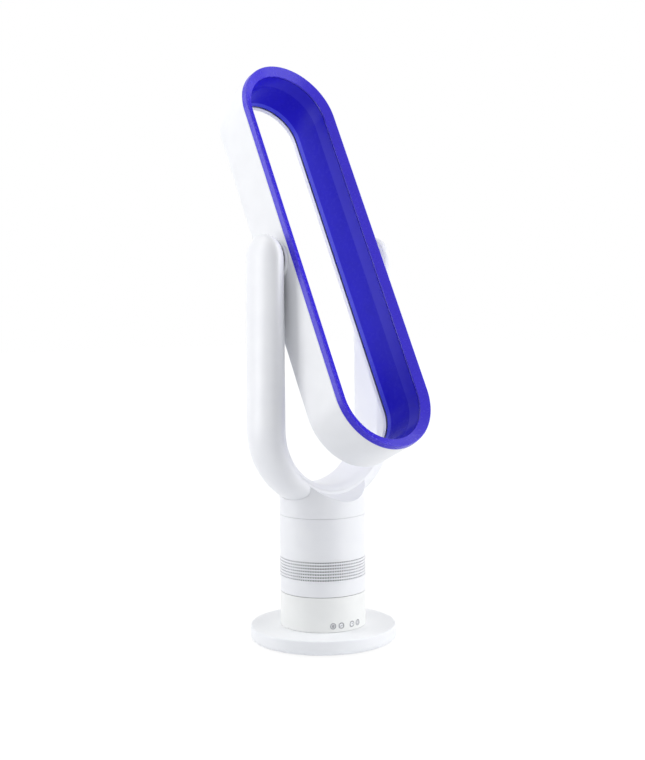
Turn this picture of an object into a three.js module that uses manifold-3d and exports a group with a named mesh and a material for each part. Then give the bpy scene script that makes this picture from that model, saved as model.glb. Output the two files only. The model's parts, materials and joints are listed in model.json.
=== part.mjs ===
// Bladeless floor fan: a round weighted base, a column with the controls and the blower,
// and a long racetrack-shaped air loop that tilts between the arms of a hollow yoke.
// Millimetres, +Z up. The front of the fan is -Y, and the floor is Z = 0.

import * as THREE from 'three';
import { mergeVertices, toCreasedNormals } from 'three/addons/utils/BufferGeometryUtils.js';
import Module from 'manifold-3d';

// ---------------------------------------------------------------- driving dimensions

const SEAT = 0.3; // gap between two pieces that rest on each other
const WALL = 2.5; // moulded housings
const ROUND = 36; // facets round a full circle of the column
const INNER_ROUND = 16; // round pieces inside the housings
const TILT_ROUND = 24; // round the tilt bearings, whose flats must clear each other
const SMALL_ROUND = 8; // round feet and buttons
const SCREW_ROUND = 6;
const CREASE = 35; // degrees from which an edge counts as sharp
const OVERLAP = 1; // how far joined bodies reach into each other
const PAST = 5; // how far a cutting tool reaches past what it cuts

// base
const BASE_RADIUS = 120;
const BASE_EDGE_INSET = 0.8; // of the upper edge from the widest point
const BASE_EDGE_ROUND = 2.7; // radius of the upper edge
const BASE_UNDER_RADIUS = 112;
const BASE_LIP_RISE = 0.3; // of the cover's lower edge above the bottom plate's underside
const BASE_RIM_DROP = 15; // from the flat top down to the widest point
const BASE_HEIGHT = 23.9; // of the cover alone
const RIM_STEPS = 2;
const BASE_PLATE_THICKNESS = 3;
const BASE_WIRE_HOLE = 20;
const FOOT_HEIGHT = 2.6;
const FOOT_RADIUS = 9;
const FOOT_INSET = 22; // of the circle of feet from the cover's lower edge
const FOOT_COUNT = 5;
const FOOT_CHAMFER = 0.6;
const WEIGHT_THICKNESS = 12;
const WEIGHT_RADIUS = 92;
const WEIGHT_BORE = 34;

// screws
const SCREW_COUNT = 4;
const SCREW_SHANK = 1.8;
const SCREW_HEAD = 3.6;
const SCREW_HEAD_HEIGHT = 1.8;
const SCREW_BOSS = 4.8;
const COVER_SCREW_CIRCLE = 62;
const COVER_SCREW_LENGTH = 15;

// column
const COLUMN_RADIUS = 70;
const CONTROL_HEIGHT = 55.7;
const SWIVEL_SEAM = 0.8; // dark line where the upper part turns
const MOTOR_HOUSING_HEIGHT = 125.4;
const COLLAR_RIM = 25.7; // height of the collar at its lowest points, the front and the back
const COLLAR_SCOOP_RADIUS = 105;
const COLLAR_SCOOP_SLOPE = 17; // degrees that the scoop falls towards the front and the back
const COLLAR_BORE = 44;
const COLLAR_SKIRT = 6.5; // spigot that drops into the motor housing
const FLOOR_THICKNESS = 3;

// buttons, with their angles counted from the front, towards +X
const BUTTONS = [
  ['mode_button', -26],
  ['swing_button', -14.5],
  ['timer_button', 2],
  ['power_button', 13],
];
const BUTTON_RADIUS = 5;
const BUTTON_HEIGHT = 10.2; // centre above the bottom of the column
const BUTTON_TRAVEL = 0.8;
const BUTTON_PROUD = 0.3;
const BUTTON_EDGE = 0.4;
const BUTTON_FLANGE = 5.9;
const BUTTON_FLANGE_THICKNESS = 1.2;
const BUTTON_STEM = 2.2;
const BUTTON_STEM_LENGTH = 2;
const SWITCH_SIZE = 6;
const SWITCH_HEIGHT = 3;
const BOARD_THICKNESS = 1.6;
const BOARD_MARGIN = 10; // degrees of board beyond the outermost buttons

// power inlet, at the back
const INLET_RADIUS = 5.5;
const INLET_BORE = 2.9;
const INLET_PIN = 0.9;
const INLET_PIN_DROP = 1.5; // of the pin's end behind the jack's face
const INLET_DEPTH = 9;
const INLET_FLANGE = 7.5;
const INLET_BODY_LENGTH = 13;
const INLET_HEIGHT = 15;

// swing drive
const LEDGE_WIDTH = 4; // of the ring inside the control housing that carries the swing plate
const LEDGE_DROP = 12.8; // from the top of the control housing down to the top of that ring
const SWING_PLATE_THICKNESS = 3;
const AXLE_RADIUS = 14;
const AXLE_BORE = 9;
const AXLE_RISE = 23.4; // above the swing plate
const RAIL_INNER = 57;
const RAIL_WIDTH = 5;
const SLIDE_RING_HEIGHT = 2.6;
const TURNTABLE_THICKNESS = 3;
const RETAINER_WIDTH = 5;
const RETAINER_HEIGHT = 3;
const GEAR_MODULE = 1.5;
const PINION_TEETH = 12;
const SECTOR_FULL_TEETH = 48; // teeth that a full wheel would have
const SECTOR_TEETH = 17; // teeth that the sector has
const GEAR_PRESSURE_ANGLE = 25;
const GEAR_BACKLASH = 0.3;
const GEAR_ADDENDUM = 0.9; // in modules
const GEAR_DEDENDUM = 1.25;
const GEAR_THICKNESS = 6;
const GEAR_HUB_RADIUS = 22;
const GEAR_BELOW_TURNTABLE = 3.2;
const PINION_SHAFT = 3;
const SWING_MOTOR_RADIUS = 14;
const SWING_MOTOR_HEIGHT = 19;
const SWING_MOTOR_EAR = [42, 7, 1.2];

// blower
const DRIVER_BOARD_INNER = 22;
const DRIVER_BOARD_OUTER = 56;
const POST_COUNT = 4;
const POST_RADIUS = 2.5;
const POST_HEIGHT = 4;
const POST_CIRCLE = 50;
const SHELF_HEIGHT = 64; // of the shelf that carries the bucket, above the housing's bottom
const SHELF_WIDTH = 8;
const GASKET_HEIGHT = 3;
const BUCKET_RADIUS = 52; // inside
const BUCKET_WALL = 2;
const BUCKET_ABOVE_SHELF = 46;
const BUCKET_BELOW_SHELF = 24;
const BUCKET_FLANGE = 3;
const BELL_FLARE = 6;
const SEAL_WIDTH = 6;
const MOTOR_RADIUS = 24.7;
const MOTOR_HEIGHT = 32;
const MOTOR_ABOVE_SHELF = 13;
const BEARING_BORE = 2.8;
const BEARING_RADIUS = 8;
const BEARING_HEIGHT = 4.7;
const SHAFT_RADIUS = 2.5;
const SHAFT_LENGTH = 26;
const VANE_COUNT = 9;
const VANE_HEIGHT = 22;
const VANE_THICKNESS = 1.6;
const VANE_TURN = 32; // degrees from leading to trailing edge
const RING_WALL = 2;
const IMPELLER_HEIGHT = 24;
const IMPELLER_CLEARANCE = 1; // tips to bucket
const IMPELLER_HUB_TOP = 28;
const IMPELLER_HUB_NOSE = 9;
const BLADE_COUNT = 9;
const BLADE_THICKNESS = 1.8;
const BLADE_ROOT_TURN = 62; // degrees of twist at the hub
const BLADE_TIP_TURN = 40; // and at the tip
const BLADE_STEPS = 3;
const CAP_HEIGHT = 5;
const TAIL_HEIGHT = 16;

// intake grille, cut through the motor housing
const GRILLE_ROWS = 7;
const GRILLE_COLUMNS = 18;
const GRILLE_ROW_PITCH = 4.75;
const GRILLE_FIRST_ROW = 27.1; // above the bottom of the motor housing
const GRILLE_HOLE = [3.6, 2.6]; // width and height

// yoke
const PIVOT_HEIGHT = 618.8;
const YOKE_HALF_GAP = 96; // centre plane to the inner face of an arm
const YOKE_DEPTH = 82;
const YOKE_THICKNESS = 40; // at the bow
const YOKE_TIP_THICKNESS = 35; // at the pivot
const YOKE_CORNER = 17;
const YOKE_BOW_BOTTOM = 258.6; // inner face at the lowest point
const YOKE_SPLIT = 9; // from the inner face to the joint between cover and shell
const YOKE_DUCT_RADIUS = 36;
const BOW_STEPS = 14;
const CORNER_STEPS = 2;
const CROWN_STEPS = 4;
const DOME_STEPS = 6;

// tilt bearings
const BOSS_RADIUS = 34.5;
const JOURNAL_RADIUS = 28;
const JOURNAL_BORE = 22;
const JOURNAL_LENGTH = 22;
const SPIGOT_LENGTH = 8;
const BUSH_WALL = 3.2;
const BUSH_LENGTH = 15;
const SOCKET_WALL = 2.7;
const SEAL_RING_WIDTH = 3;
const SNAP_RING_WIDTH = 3.5;
const SNAP_RING_HEIGHT = 2.5;
const BOSS_CHAMFER = 1;

// loop, with its section given as [inset from the outer front edge, depth behind the front]
const LOOP_WIDTH = 178;
const LOOP_LENGTH = 683;
const LOOP_DEPTH = 90.7;
const LOOP_AHEAD = 49.2; // of the tilt axis, to the rim's front
const LOOP_TILT = 26.5; // degrees that the top leans back
const LOOP_ARC_STEPS = 14; // in each half circle
const BAND_DEPTH = 10.6; // outer blue band of the rim
const BAND_FLARE = 1.5;
const RIM_WALL = 2.7;
const RIM_EDGE = 0.6; // rounding of the rim's front edge
const BEVEL_WIDTH = 14.6;
const BEVEL_DEPTH = 8.4;
const THROAT_WALL = 2.4;
const THROAT_KNEE_INSET = 15.4;
const THROAT_KNEE_DEPTH = 36;
const THROAT_END_INSET = 19.6;
const THROAT_END_DEPTH = 84;
const CASING_DRAFT = 5.7; // inset of the outer wall at the back
const CASING_BACK_ROUND = 12; // depth over which the casing turns in towards its back
const CASING_BACK_INSET = 9; // how far it has turned in where the back is flat
const SLOT_WIDTH = 2.4;
const LIP_LENGTH = 12;
const LIP_FLARE = 2.4;
const SPACER_COUNT = 10;
const SPACER_SIZE = 2.4;
const SPACER_LENGTH = 4;

// ---------------------------------------------------------------- derived heights

const UNDER_COVER_Z = FOOT_HEIGHT + SEAT;
const WEIGHT_Z = UNDER_COVER_Z + BASE_PLATE_THICKNESS + SEAT;
const BASE_LIP_Z = UNDER_COVER_Z + BASE_LIP_RISE;
const BASE_TOP = BASE_LIP_Z + BASE_HEIGHT;
const COLUMN_Z = BASE_TOP + SEAT;
const COLUMN_INNER = COLUMN_RADIUS - WALL;
const CONTROL_TOP = COLUMN_Z + CONTROL_HEIGHT;
const LEDGE_TOP = CONTROL_TOP - LEDGE_DROP;
const SWING_PLATE_Z = LEDGE_TOP + SEAT;
const SWING_PLATE_TOP = SWING_PLATE_Z + SWING_PLATE_THICKNESS;
const HOUSING_Z = CONTROL_TOP + SWIVEL_SEAM;
const HOUSING_TOP = HOUSING_Z + MOTOR_HOUSING_HEIGHT;
const TURNTABLE_Z = HOUSING_Z + FLOOR_THICKNESS + SEAT;
const TURNTABLE_TOP = TURNTABLE_Z + TURNTABLE_THICKNESS;
const SLIDE_RING_TOP = TURNTABLE_Z - SEAT;
const RAIL_TOP = SLIDE_RING_TOP - SLIDE_RING_HEIGHT - SEAT;
const RAIL_OUTER = RAIL_INNER + RAIL_WIDTH;
const SHELF_TOP = HOUSING_Z + SHELF_HEIGHT + FLOOR_THICKNESS;
const GASKET_TOP = SHELF_TOP + SEAT + GASKET_HEIGHT;
const FLANGE_Z = GASKET_TOP + SEAT;
const BUCKET_TOP = SHELF_TOP + BUCKET_ABOVE_SHELF;
const BUCKET_BOTTOM = SHELF_TOP - BUCKET_BELOW_SHELF;
const COLLAR_Z = HOUSING_TOP + SEAT;
const SCOOP_FRONT_Z = COLLAR_Z + COLLAR_RIM;
const MOTOR_Z = SHELF_TOP + MOTOR_ABOVE_SHELF;
const IMPELLER_TOP = MOTOR_Z - BEARING_HEIGHT - SEAT - SEAT - SEAT;
const IMPELLER_Z = IMPELLER_TOP - IMPELLER_HEIGHT;
const GEAR_CENTRES = GEAR_MODULE * (PINION_TEETH + SECTOR_FULL_TEETH) / 2;
const GEAR_Z = TURNTABLE_Z - GEAR_BELOW_TURNTABLE - GEAR_THICKNESS;
const BOW_CENTRE_Z = YOKE_BOW_BOTTOM + YOKE_HALF_GAP;
const HALF_DEPTH = YOKE_DEPTH / 2;

const radians = THREE.MathUtils.degToRad;

// ---------------------------------------------------------------- solids

const wasm = await Module();
wasm.setup();

// A closed mesh as a solid that can be joined and cut.
function solid(geometry) {
  const bare = geometry.clone();
  bare.deleteAttribute('normal');
  bare.deleteAttribute('uv');
  const merged = outward(mergeVertices(bare, 1e-4));
  return new wasm.Manifold(new wasm.Mesh({
    numProp: 3,
    vertProperties: new Float32Array(merged.attributes.position.array),
    triVerts: new Uint32Array(merged.index.array),
  }));
}

// Turns every face round if the mesh is inside out.
function outward(geometry) {
  const at = geometry.attributes.position;
  const index = geometry.index.array;
  const [a, b, c] = [new THREE.Vector3(), new THREE.Vector3(), new THREE.Vector3()];
  let volume = 0;
  for (let i = 0; i < index.length; i += 3) {
    a.fromBufferAttribute(at, index[i]);
    b.fromBufferAttribute(at, index[i + 1]);
    c.fromBufferAttribute(at, index[i + 2]);
    volume += a.dot(b.cross(c));
  }
  if (volume < 0) {
    for (let i = 0; i < index.length; i += 3) {
      [index[i], index[i + 1]] = [index[i + 1], index[i]];
    }
  }
  return geometry;
}

// A solid back as a mesh, with normals that keep its edges sharp.
function surface(body) {
  const mesh = body.getMesh();
  const geometry = new THREE.BufferGeometry();
  geometry.setAttribute('position', new THREE.BufferAttribute(mesh.vertProperties, 3));
  geometry.setIndex(new THREE.BufferAttribute(mesh.triVerts, 1));
  return toCreasedNormals(geometry, radians(CREASE));
}

function join(...bodies) {
  return bodies.reduce((all, body) => all.add(body));
}

function cut(body, ...tools) {
  return tools.reduce((rest, tool) => rest.subtract(tool), body);
}

// Revolves [radius, height] points round Z. The outline starts and ends on the axis, or closes
// on itself.
function revolve(outline, segments = ROUND) {
  const points = outline.map(([r, z]) => new THREE.Vector2(r, z));
  if (outline[0][0] > 0 || outline.at(-1)[0] > 0) {
    points.push(points[0].clone());
  }
  return new THREE.LatheGeometry(points, segments).rotateX(Math.PI / 2);
}

function ring(inner, outer, low, high, segments = ROUND) {
  return revolve([[inner, low], [outer, low], [outer, high], [inner, high]], segments);
}

function disc(radius, low, high, segments = ROUND) {
  return revolve([[0, low], [radius, low], [radius, high], [0, high]], segments);
}

function block(width, depth, height) {
  return new THREE.BoxGeometry(width, depth, height);
}

// Lays something built along +Z so that it points outwards from the column at an angle from
// the front, at a height.
function pointOutward(geometry, angle, height) {
  return geometry.rotateX(Math.PI / 2).rotateZ(radians(angle)).translate(0, 0, height);
}

// The places of a number of equal things round a circle.
function around(count, radius, start = 0) {
  return Array.from({ length: count }, (_, i) => {
    const angle = start + 2 * Math.PI * i / count;
    return { x: radius * Math.cos(angle), y: radius * Math.sin(angle), angle };
  });
}

// Faces between neighbouring chains of points. With loop, each chain closes on itself.
function stitch(triangles, chains, loop, flip = false) {
  for (let i = 0; i + 1 < chains.length; i += 1) {
    const [here, next] = [chains[i], chains[i + 1]];
    const last = loop ? here.length : here.length - 1;
    for (let k = 0; k < last; k += 1) {
      const m = (k + 1) % here.length;
      const corners = flip
        ? [here[k], next[m], here[m], here[k], next[k], next[m]]
        : [here[k], here[m], next[m], here[k], next[m], next[k]];
      triangles.push(...corners);
    }
  }
}

// A mesh of a list of triangle corners, with the faces that have no area left out.
function fromTriangles(triangles) {
  const kept = [];
  for (let i = 0; i < triangles.length; i += 3) {
    const [a, b, c] = triangles.slice(i, i + 3);
    const flat = [[a, b], [b, c], [c, a]].some(([p, q]) => p.distanceTo(q) < 1e-5);
    if (!flat) {
      kept.push(a, b, c);
    }
  }
  return mergeVertices(new THREE.BufferGeometry().setFromPoints(kept), 1e-4);
}

// ---------------------------------------------------------------- scene

const fan = new THREE.Group();
const loop = new THREE.Group();
loop.position.z = PIVOT_HEIGHT;
loop.rotation.x = -radians(LOOP_TILT);
fan.add(loop);

function finish(color, roughness, metalness = 0) {
  return new THREE.MeshStandardMaterial({ color, roughness, metalness });
}

const white = finish(0xf1f2f6, 0.3);
const violet = finish(0x3a34b4, 0.32);
const darkPlastic = finish(0x26282e, 0.6);
const paleAcetal = finish(0xe6e2d6, 0.4);
const rubber = finish(0x1c1c1e, 0.9);
const iron = finish(0x4a4c50, 0.6, 0.8);
const steel = finish(0xb8bbc0, 0.35, 1);
const circuit = finish(0x1f5a38, 0.55);

// Hangs a named piece, given as a closed mesh or as a solid, in a group.
function add(name, piece, material, parent = fan) {
  const body = piece.isBufferGeometry ? solid(piece) : piece;
  const mesh = new THREE.Mesh(surface(body), material);
  mesh.name = name;
  parent.add(mesh);
}

// ---------------------------------------------------------------- base

// A pan-head screw along +Z: its head hangs below the origin.
function screw(length) {
  const edge = SCREW_HEAD_HEIGHT / 2;
  return revolve([
    [0, -SCREW_HEAD_HEIGHT], [SCREW_HEAD - edge, -SCREW_HEAD_HEIGHT], [SCREW_HEAD, -edge],
    [SCREW_HEAD, 0], [SCREW_SHANK, 0], [SCREW_SHANK, length], [0, length],
  ], SCREW_ROUND);
}

const screwHole = SCREW_SHANK + 2 * SEAT;
const coverScrews = around(SCREW_COUNT, COVER_SCREW_CIRCLE, Math.PI / 4);

function holes(places, radius, low, high) {
  return join(...places.map(({ x, y }) => (
    solid(disc(radius, low, high, SCREW_ROUND).translate(x, y, 0)))));
}

function makeBase() {
  const rimZ = BASE_TOP - BASE_RIM_DROP;
  const plateZ = BASE_TOP - BASE_PLATE_THICKNESS;
  const edge = BASE_RADIUS - BASE_EDGE_INSET;
  const rounding = [];
  for (let i = 0; i <= RIM_STEPS; i += 1) {
    const turn = i / RIM_STEPS * Math.PI / 2;
    rounding.push([edge + BASE_EDGE_ROUND * (Math.sin(turn) - 1),
      BASE_TOP + BASE_EDGE_ROUND * (Math.cos(turn) - 1)]);
  }
  // From the widest point round to the lower edge, at a depth below the outer surface.
  const under = (depth) => new THREE.QuadraticBezierCurve(
    new THREE.Vector2(BASE_RADIUS - depth, rimZ),
    new THREE.Vector2(BASE_RADIUS - depth, BASE_LIP_Z + depth),
    new THREE.Vector2(BASE_UNDER_RADIUS, BASE_LIP_Z + depth),
  ).getPoints(RIM_STEPS).map((p) => [p.x, p.y]);
  const lip = BASE_UNDER_RADIUS - WALL;
  const cover = revolve([
    [BASE_WIRE_HOLE, BASE_TOP], ...rounding, ...under(0),
    [lip, BASE_LIP_Z], [lip, BASE_LIP_Z + WALL], ...under(WALL).reverse(),
    [edge - WALL, plateZ], [BASE_WIRE_HOLE, plateZ],
  ]);
  const bosses = holes(coverScrews, SCREW_BOSS, WEIGHT_Z, plateZ + OVERLAP);
  const pilots = holes(coverScrews, screwHole, WEIGHT_Z - OVERLAP, plateZ - OVERLAP);
  add('base_cover', cut(join(solid(cover), bosses), pilots), white);

  const weight = ring(WEIGHT_BORE, WEIGHT_RADIUS, WEIGHT_Z, WEIGHT_Z + WEIGHT_THICKNESS,
    INNER_ROUND);
  const clear = holes(coverScrews, SCREW_BOSS + SEAT, 0, BASE_TOP);
  add('base_weight', cut(solid(weight), clear), iron);

  const plate = disc(lip - SEAT, UNDER_COVER_Z, UNDER_COVER_Z + BASE_PLATE_THICKNESS);
  const screwsPass = holes(coverScrews, screwHole, 0, BASE_TOP);
  add('base_bottom_plate', cut(solid(plate), screwsPass), darkPlastic);

  coverScrews.forEach(({ x, y }, i) => {
    const place = screw(COVER_SCREW_LENGTH).translate(x, y, UNDER_COVER_Z - SEAT);
    add(`base_screw_${i + 1}`, place, steel);
  });
  around(FOOT_COUNT, BASE_UNDER_RADIUS - FOOT_INSET, Math.PI / 2).forEach(({ x, y }, i) => {
    const foot = revolve([
      [0, 0], [FOOT_RADIUS - FOOT_CHAMFER, 0], [FOOT_RADIUS, FOOT_CHAMFER],
      [FOOT_RADIUS, FOOT_HEIGHT], [0, FOOT_HEIGHT],
    ], SMALL_ROUND);
    add(`foot_${i + 1}`, foot.translate(x, y, 0), rubber);
  });
}

// ---------------------------------------------------------------- controls

const buttonZ = COLUMN_Z + BUTTON_HEIGHT;
const inletZ = COLUMN_Z + INLET_HEIGHT;
// How far out a flat disc of a given radius may reach inside the round wall.
const insideWall = (radius) => Math.sqrt(COLUMN_INNER ** 2 - radius ** 2) - SEAT;
const flangeFace = insideWall(BUTTON_FLANGE);
const stemEnd = flangeFace - BUTTON_FLANGE_THICKNESS - BUTTON_STEM_LENGTH;
const switchFace = stemEnd - BUTTON_TRAVEL - SEAT;

function makeControls() {
  const shell = revolve([
    [BASE_WIRE_HOLE, COLUMN_Z], [COLUMN_RADIUS, COLUMN_Z], [COLUMN_RADIUS, CONTROL_TOP],
    [COLUMN_INNER, CONTROL_TOP], [COLUMN_INNER, LEDGE_TOP],
    [COLUMN_INNER - LEDGE_WIDTH, LEDGE_TOP],
    [COLUMN_INNER - LEDGE_WIDTH, LEDGE_TOP - FLOOR_THICKNESS],
    [COLUMN_INNER, LEDGE_TOP - FLOOR_THICKNESS - LEDGE_WIDTH],
    [COLUMN_INNER, COLUMN_Z + FLOOR_THICKNESS], [BASE_WIRE_HOLE, COLUMN_Z + FLOOR_THICKNESS],
  ]);
  const floorTop = COLUMN_Z + FLOOR_THICKNESS;
  const bores = BUTTONS.map(([, angle]) => {
    const bore = disc(BUTTON_RADIUS + SEAT, COLUMN_INNER - PAST, COLUMN_RADIUS + PAST,
      SMALL_ROUND);
    return solid(pointOutward(bore, angle, buttonZ));
  });
  const inletBore = disc(INLET_RADIUS + SEAT, COLUMN_INNER - PAST, COLUMN_RADIUS + PAST,
    SMALL_ROUND);
  bores.push(solid(pointOutward(inletBore, 180, inletZ)));
  add('control_housing', cut(solid(shell), ...bores), white);

  for (const [name, angle] of BUTTONS) {
    const face = COLUMN_RADIUS + BUTTON_PROUD;
    const button = revolve([
      [0, stemEnd], [BUTTON_STEM, stemEnd], [BUTTON_STEM, flangeFace - BUTTON_FLANGE_THICKNESS],
      [BUTTON_FLANGE, flangeFace - BUTTON_FLANGE_THICKNESS], [BUTTON_FLANGE, flangeFace],
      [BUTTON_RADIUS, flangeFace], [BUTTON_RADIUS, face - BUTTON_EDGE], [BUTTON_RADIUS - BUTTON_EDGE, face],
      [0, face],
    ], SMALL_ROUND);
    add(name, pointOutward(button, angle, buttonZ), white);
  }

  // The board is a curved strip on the floor of the housing, with a switch behind each button.
  const angles = BUTTONS.map(([, angle]) => angle);
  const first = radians(Math.min(...angles) - BOARD_MARGIN) - Math.PI / 2;
  const last = radians(Math.max(...angles) + BOARD_MARGIN) - Math.PI / 2;
  const boardFace = switchFace - SWITCH_HEIGHT;
  const strip = new THREE.Shape();
  strip.absarc(0, 0, boardFace, first, last, false);
  strip.absarc(0, 0, boardFace - BOARD_THICKNESS, last, first, true);
  const boardHeight = BUTTON_HEIGHT - FLOOR_THICKNESS + SWITCH_SIZE;
  const board = new THREE.ExtrudeGeometry(strip, {
    depth: boardHeight, bevelEnabled: false, curveSegments: 8,
  }).translate(0, 0, floorTop + SEAT);
  const switches = angles.map((angle) => {
    const body = block(SWITCH_SIZE, SWITCH_SIZE, SWITCH_HEIGHT + 1);
    return solid(pointOutward(body.translate(0, 0, switchFace - (SWITCH_HEIGHT + 1) / 2), angle,
      buttonZ));
  });
  add('control_board', join(solid(board), ...switches), circuit);

  const jackFace = Math.sqrt(COLUMN_RADIUS ** 2 - INLET_RADIUS ** 2);
  const shoulder = insideWall(INLET_FLANGE);
  const jack = revolve([
    [0, jackFace - INLET_BODY_LENGTH], [INLET_FLANGE, jackFace - INLET_BODY_LENGTH],
    [INLET_FLANGE, shoulder], [INLET_RADIUS, shoulder], [INLET_RADIUS, jackFace],
    [INLET_BORE, jackFace], [INLET_BORE, jackFace - INLET_DEPTH],
    [INLET_PIN, jackFace - INLET_DEPTH], [INLET_PIN, jackFace - INLET_PIN_DROP], [0, jackFace - INLET_PIN_DROP],
  ], SMALL_ROUND);
  add('power_inlet', pointOutward(jack, 180, inletZ), darkPlastic);
}

// ---------------------------------------------------------------- swing drive

// Outline points of one involute tooth, from root to tip and down again, round angle 0.
function tooth(teeth) {
  const pitch = GEAR_MODULE * teeth / 2;
  const pressure = radians(GEAR_PRESSURE_ANGLE);
  const base = pitch * Math.cos(pressure);
  const root = pitch - GEAR_DEDENDUM * GEAR_MODULE;
  const tip = pitch + GEAR_ADDENDUM * GEAR_MODULE;
  const halfPitch = Math.PI / (2 * teeth) - GEAR_BACKLASH / (2 * pitch);
  const involute = (r) => Math.sqrt(Math.max((r / base) ** 2 - 1, 0))
    - Math.atan(Math.sqrt(Math.max((r / base) ** 2 - 1, 0)));
  const half = (r) => halfPitch + involute(pitch) - involute(Math.max(r, base));
  const radii = [root, pitch, tip];
  const rising = radii.map((r) => [r, -half(r)]);
  const falling = radii.map((r) => [r, half(r)]).reverse();
  return [...rising, ...falling];
}

function gearShape(teeth, count, centre) {
  const step = 2 * Math.PI / teeth;
  const points = [];
  for (let i = 0; i < count; i += 1) {
    const turn = centre + (i - (count - 1) / 2) * step;
    for (const [r, angle] of tooth(teeth)) {
      points.push(new THREE.Vector2(r * Math.cos(turn + angle), r * Math.sin(turn + angle)));
    }
  }
  return points;
}

function extrude(shape, height) {
  return new THREE.ExtrudeGeometry(shape, { depth: height, bevelEnabled: false });
}

function makeSwingDrive() {
  const centre = [0, GEAR_CENTRES];
  const plateRadius = COLUMN_INNER - SEAT;
  const plate = revolve([
    [AXLE_BORE, SWING_PLATE_Z], [plateRadius, SWING_PLATE_Z], [plateRadius, SWING_PLATE_TOP],
    [RAIL_OUTER, SWING_PLATE_TOP], [RAIL_OUTER, RAIL_TOP], [RAIL_INNER, RAIL_TOP],
    [RAIL_INNER, SWING_PLATE_TOP], [AXLE_RADIUS, SWING_PLATE_TOP],
    [AXLE_RADIUS, SWING_PLATE_TOP + AXLE_RISE], [AXLE_BORE, SWING_PLATE_TOP + AXLE_RISE],
  ], INNER_ROUND);
  const shaftHole = disc(PINION_SHAFT + SEAT, 0, CONTROL_TOP, SMALL_ROUND).translate(...centre, 0);
  add('swing_plate', cut(solid(plate), solid(shaftHole)), darkPlastic);

  const slideRing = ring(RAIL_INNER, RAIL_OUTER, RAIL_TOP + SEAT, SLIDE_RING_TOP,
    INNER_ROUND);
  add('slide_ring', slideRing, paleAcetal);

  const motorTop = SWING_PLATE_Z - SEAT;
  const can = disc(SWING_MOTOR_RADIUS, motorTop - SWING_MOTOR_HEIGHT, motorTop,
    INNER_ROUND);
  const earHeight = SWING_MOTOR_EAR.at(-1);
  const ears = block(...SWING_MOTOR_EAR).translate(0, 0, motorTop - earHeight / 2);
  const swingMotor = join(solid(can), solid(ears));
  add('swing_motor', swingMotor.translate([...centre, 0]), steel);

  // The pinion's tooth points at the column's axis, where the sector has a gap.
  const towardsAxis = -Math.PI / 2 + Math.PI / PINION_TEETH;
  const wheel = extrude(new THREE.Shape(gearShape(PINION_TEETH, PINION_TEETH, towardsAxis)),
    GEAR_THICKNESS).translate(...centre, GEAR_Z);
  const shaft = disc(PINION_SHAFT, motorTop + SEAT, GEAR_Z + OVERLAP, SMALL_ROUND)
    .translate(...centre, 0);
  add('swing_pinion', join(solid(wheel), solid(shaft)), paleAcetal);

  const step = 2 * Math.PI / SECTOR_FULL_TEETH;
  const teeth = gearShape(SECTOR_FULL_TEETH, SECTOR_TEETH, Math.PI / 2 + step / 2);
  const web = solid(extrude(new THREE.Shape([...teeth, new THREE.Vector2(0, 0)]), GEAR_THICKNESS)
    .translate(0, 0, GEAR_Z));
  const hub = solid(disc(GEAR_HUB_RADIUS, GEAR_Z, TURNTABLE_Z - SEAT, INNER_ROUND));
  const axle = solid(disc(AXLE_RADIUS + SEAT, 0, HOUSING_TOP, INNER_ROUND));
  add('swing_gear', cut(join(web, hub), axle), paleAcetal);

  const tableRadius = COLUMN_INNER - SEAT;
  const table = ring(AXLE_RADIUS + SEAT, tableRadius, TURNTABLE_Z, TURNTABLE_TOP,
    INNER_ROUND);
  const postPlaces = around(POST_COUNT, POST_CIRCLE, Math.PI / POST_COUNT);
  const posts = holes(postPlaces, POST_RADIUS, TURNTABLE_TOP - OVERLAP, TURNTABLE_TOP + POST_HEIGHT);
  add('turntable', join(solid(table), posts), darkPlastic);

  const retainerZ = TURNTABLE_TOP + SEAT;
  const retainer = ring(AXLE_RADIUS + SEAT, AXLE_RADIUS + RETAINER_WIDTH, retainerZ,
    retainerZ + RETAINER_HEIGHT, INNER_ROUND);
  add('swivel_retainer', retainer, steel);

  const boardZ = TURNTABLE_TOP + POST_HEIGHT + SEAT;
  const driver = ring(DRIVER_BOARD_INNER, DRIVER_BOARD_OUTER, boardZ, boardZ + BOARD_THICKNESS,
    INNER_ROUND);
  add('driver_board', driver, circuit);
}

// ---------------------------------------------------------------- motor housing and blower

function makeMotorHousing() {
  const shelfInner = COLUMN_INNER - SHELF_WIDTH;
  const shell = revolve([
    [COLUMN_INNER - LEDGE_WIDTH, HOUSING_Z], [COLUMN_RADIUS, HOUSING_Z],
    [COLUMN_RADIUS, HOUSING_TOP], [COLUMN_INNER, HOUSING_TOP], [COLUMN_INNER, SHELF_TOP],
    [shelfInner, SHELF_TOP], [shelfInner, SHELF_TOP - FLOOR_THICKNESS],
    [COLUMN_INNER, SHELF_TOP - FLOOR_THICKNESS - SHELF_WIDTH],
    [COLUMN_INNER, HOUSING_Z + FLOOR_THICKNESS],
    [COLUMN_INNER - LEDGE_WIDTH, HOUSING_Z + FLOOR_THICKNESS],
  ]);
  // Each hole lies in the middle of a facet, and every second row is moved by half a pitch.
  const [width, height] = GRILLE_HOLE;
  const punches = [];
  for (let row = 0; row < GRILLE_ROWS; row += 1) {
    const z = HOUSING_Z + GRILLE_FIRST_ROW + row * GRILLE_ROW_PITCH;
    for (let column = 0; column < GRILLE_COLUMNS; column += 1) {
      const turn = (column + (row % 2) / 2 + 1 / 4) * 360 / GRILLE_COLUMNS;
      const punch = block(width, height, WALL + 2 * PAST).translate(0, 0, COLUMN_RADIUS);
      punches.push(solid(pointOutward(punch, turn, z)));
    }
  }
  const grille = wasm.Manifold.union(punches);
  add('motor_housing', cut(solid(shell), grille), white);
}

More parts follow.
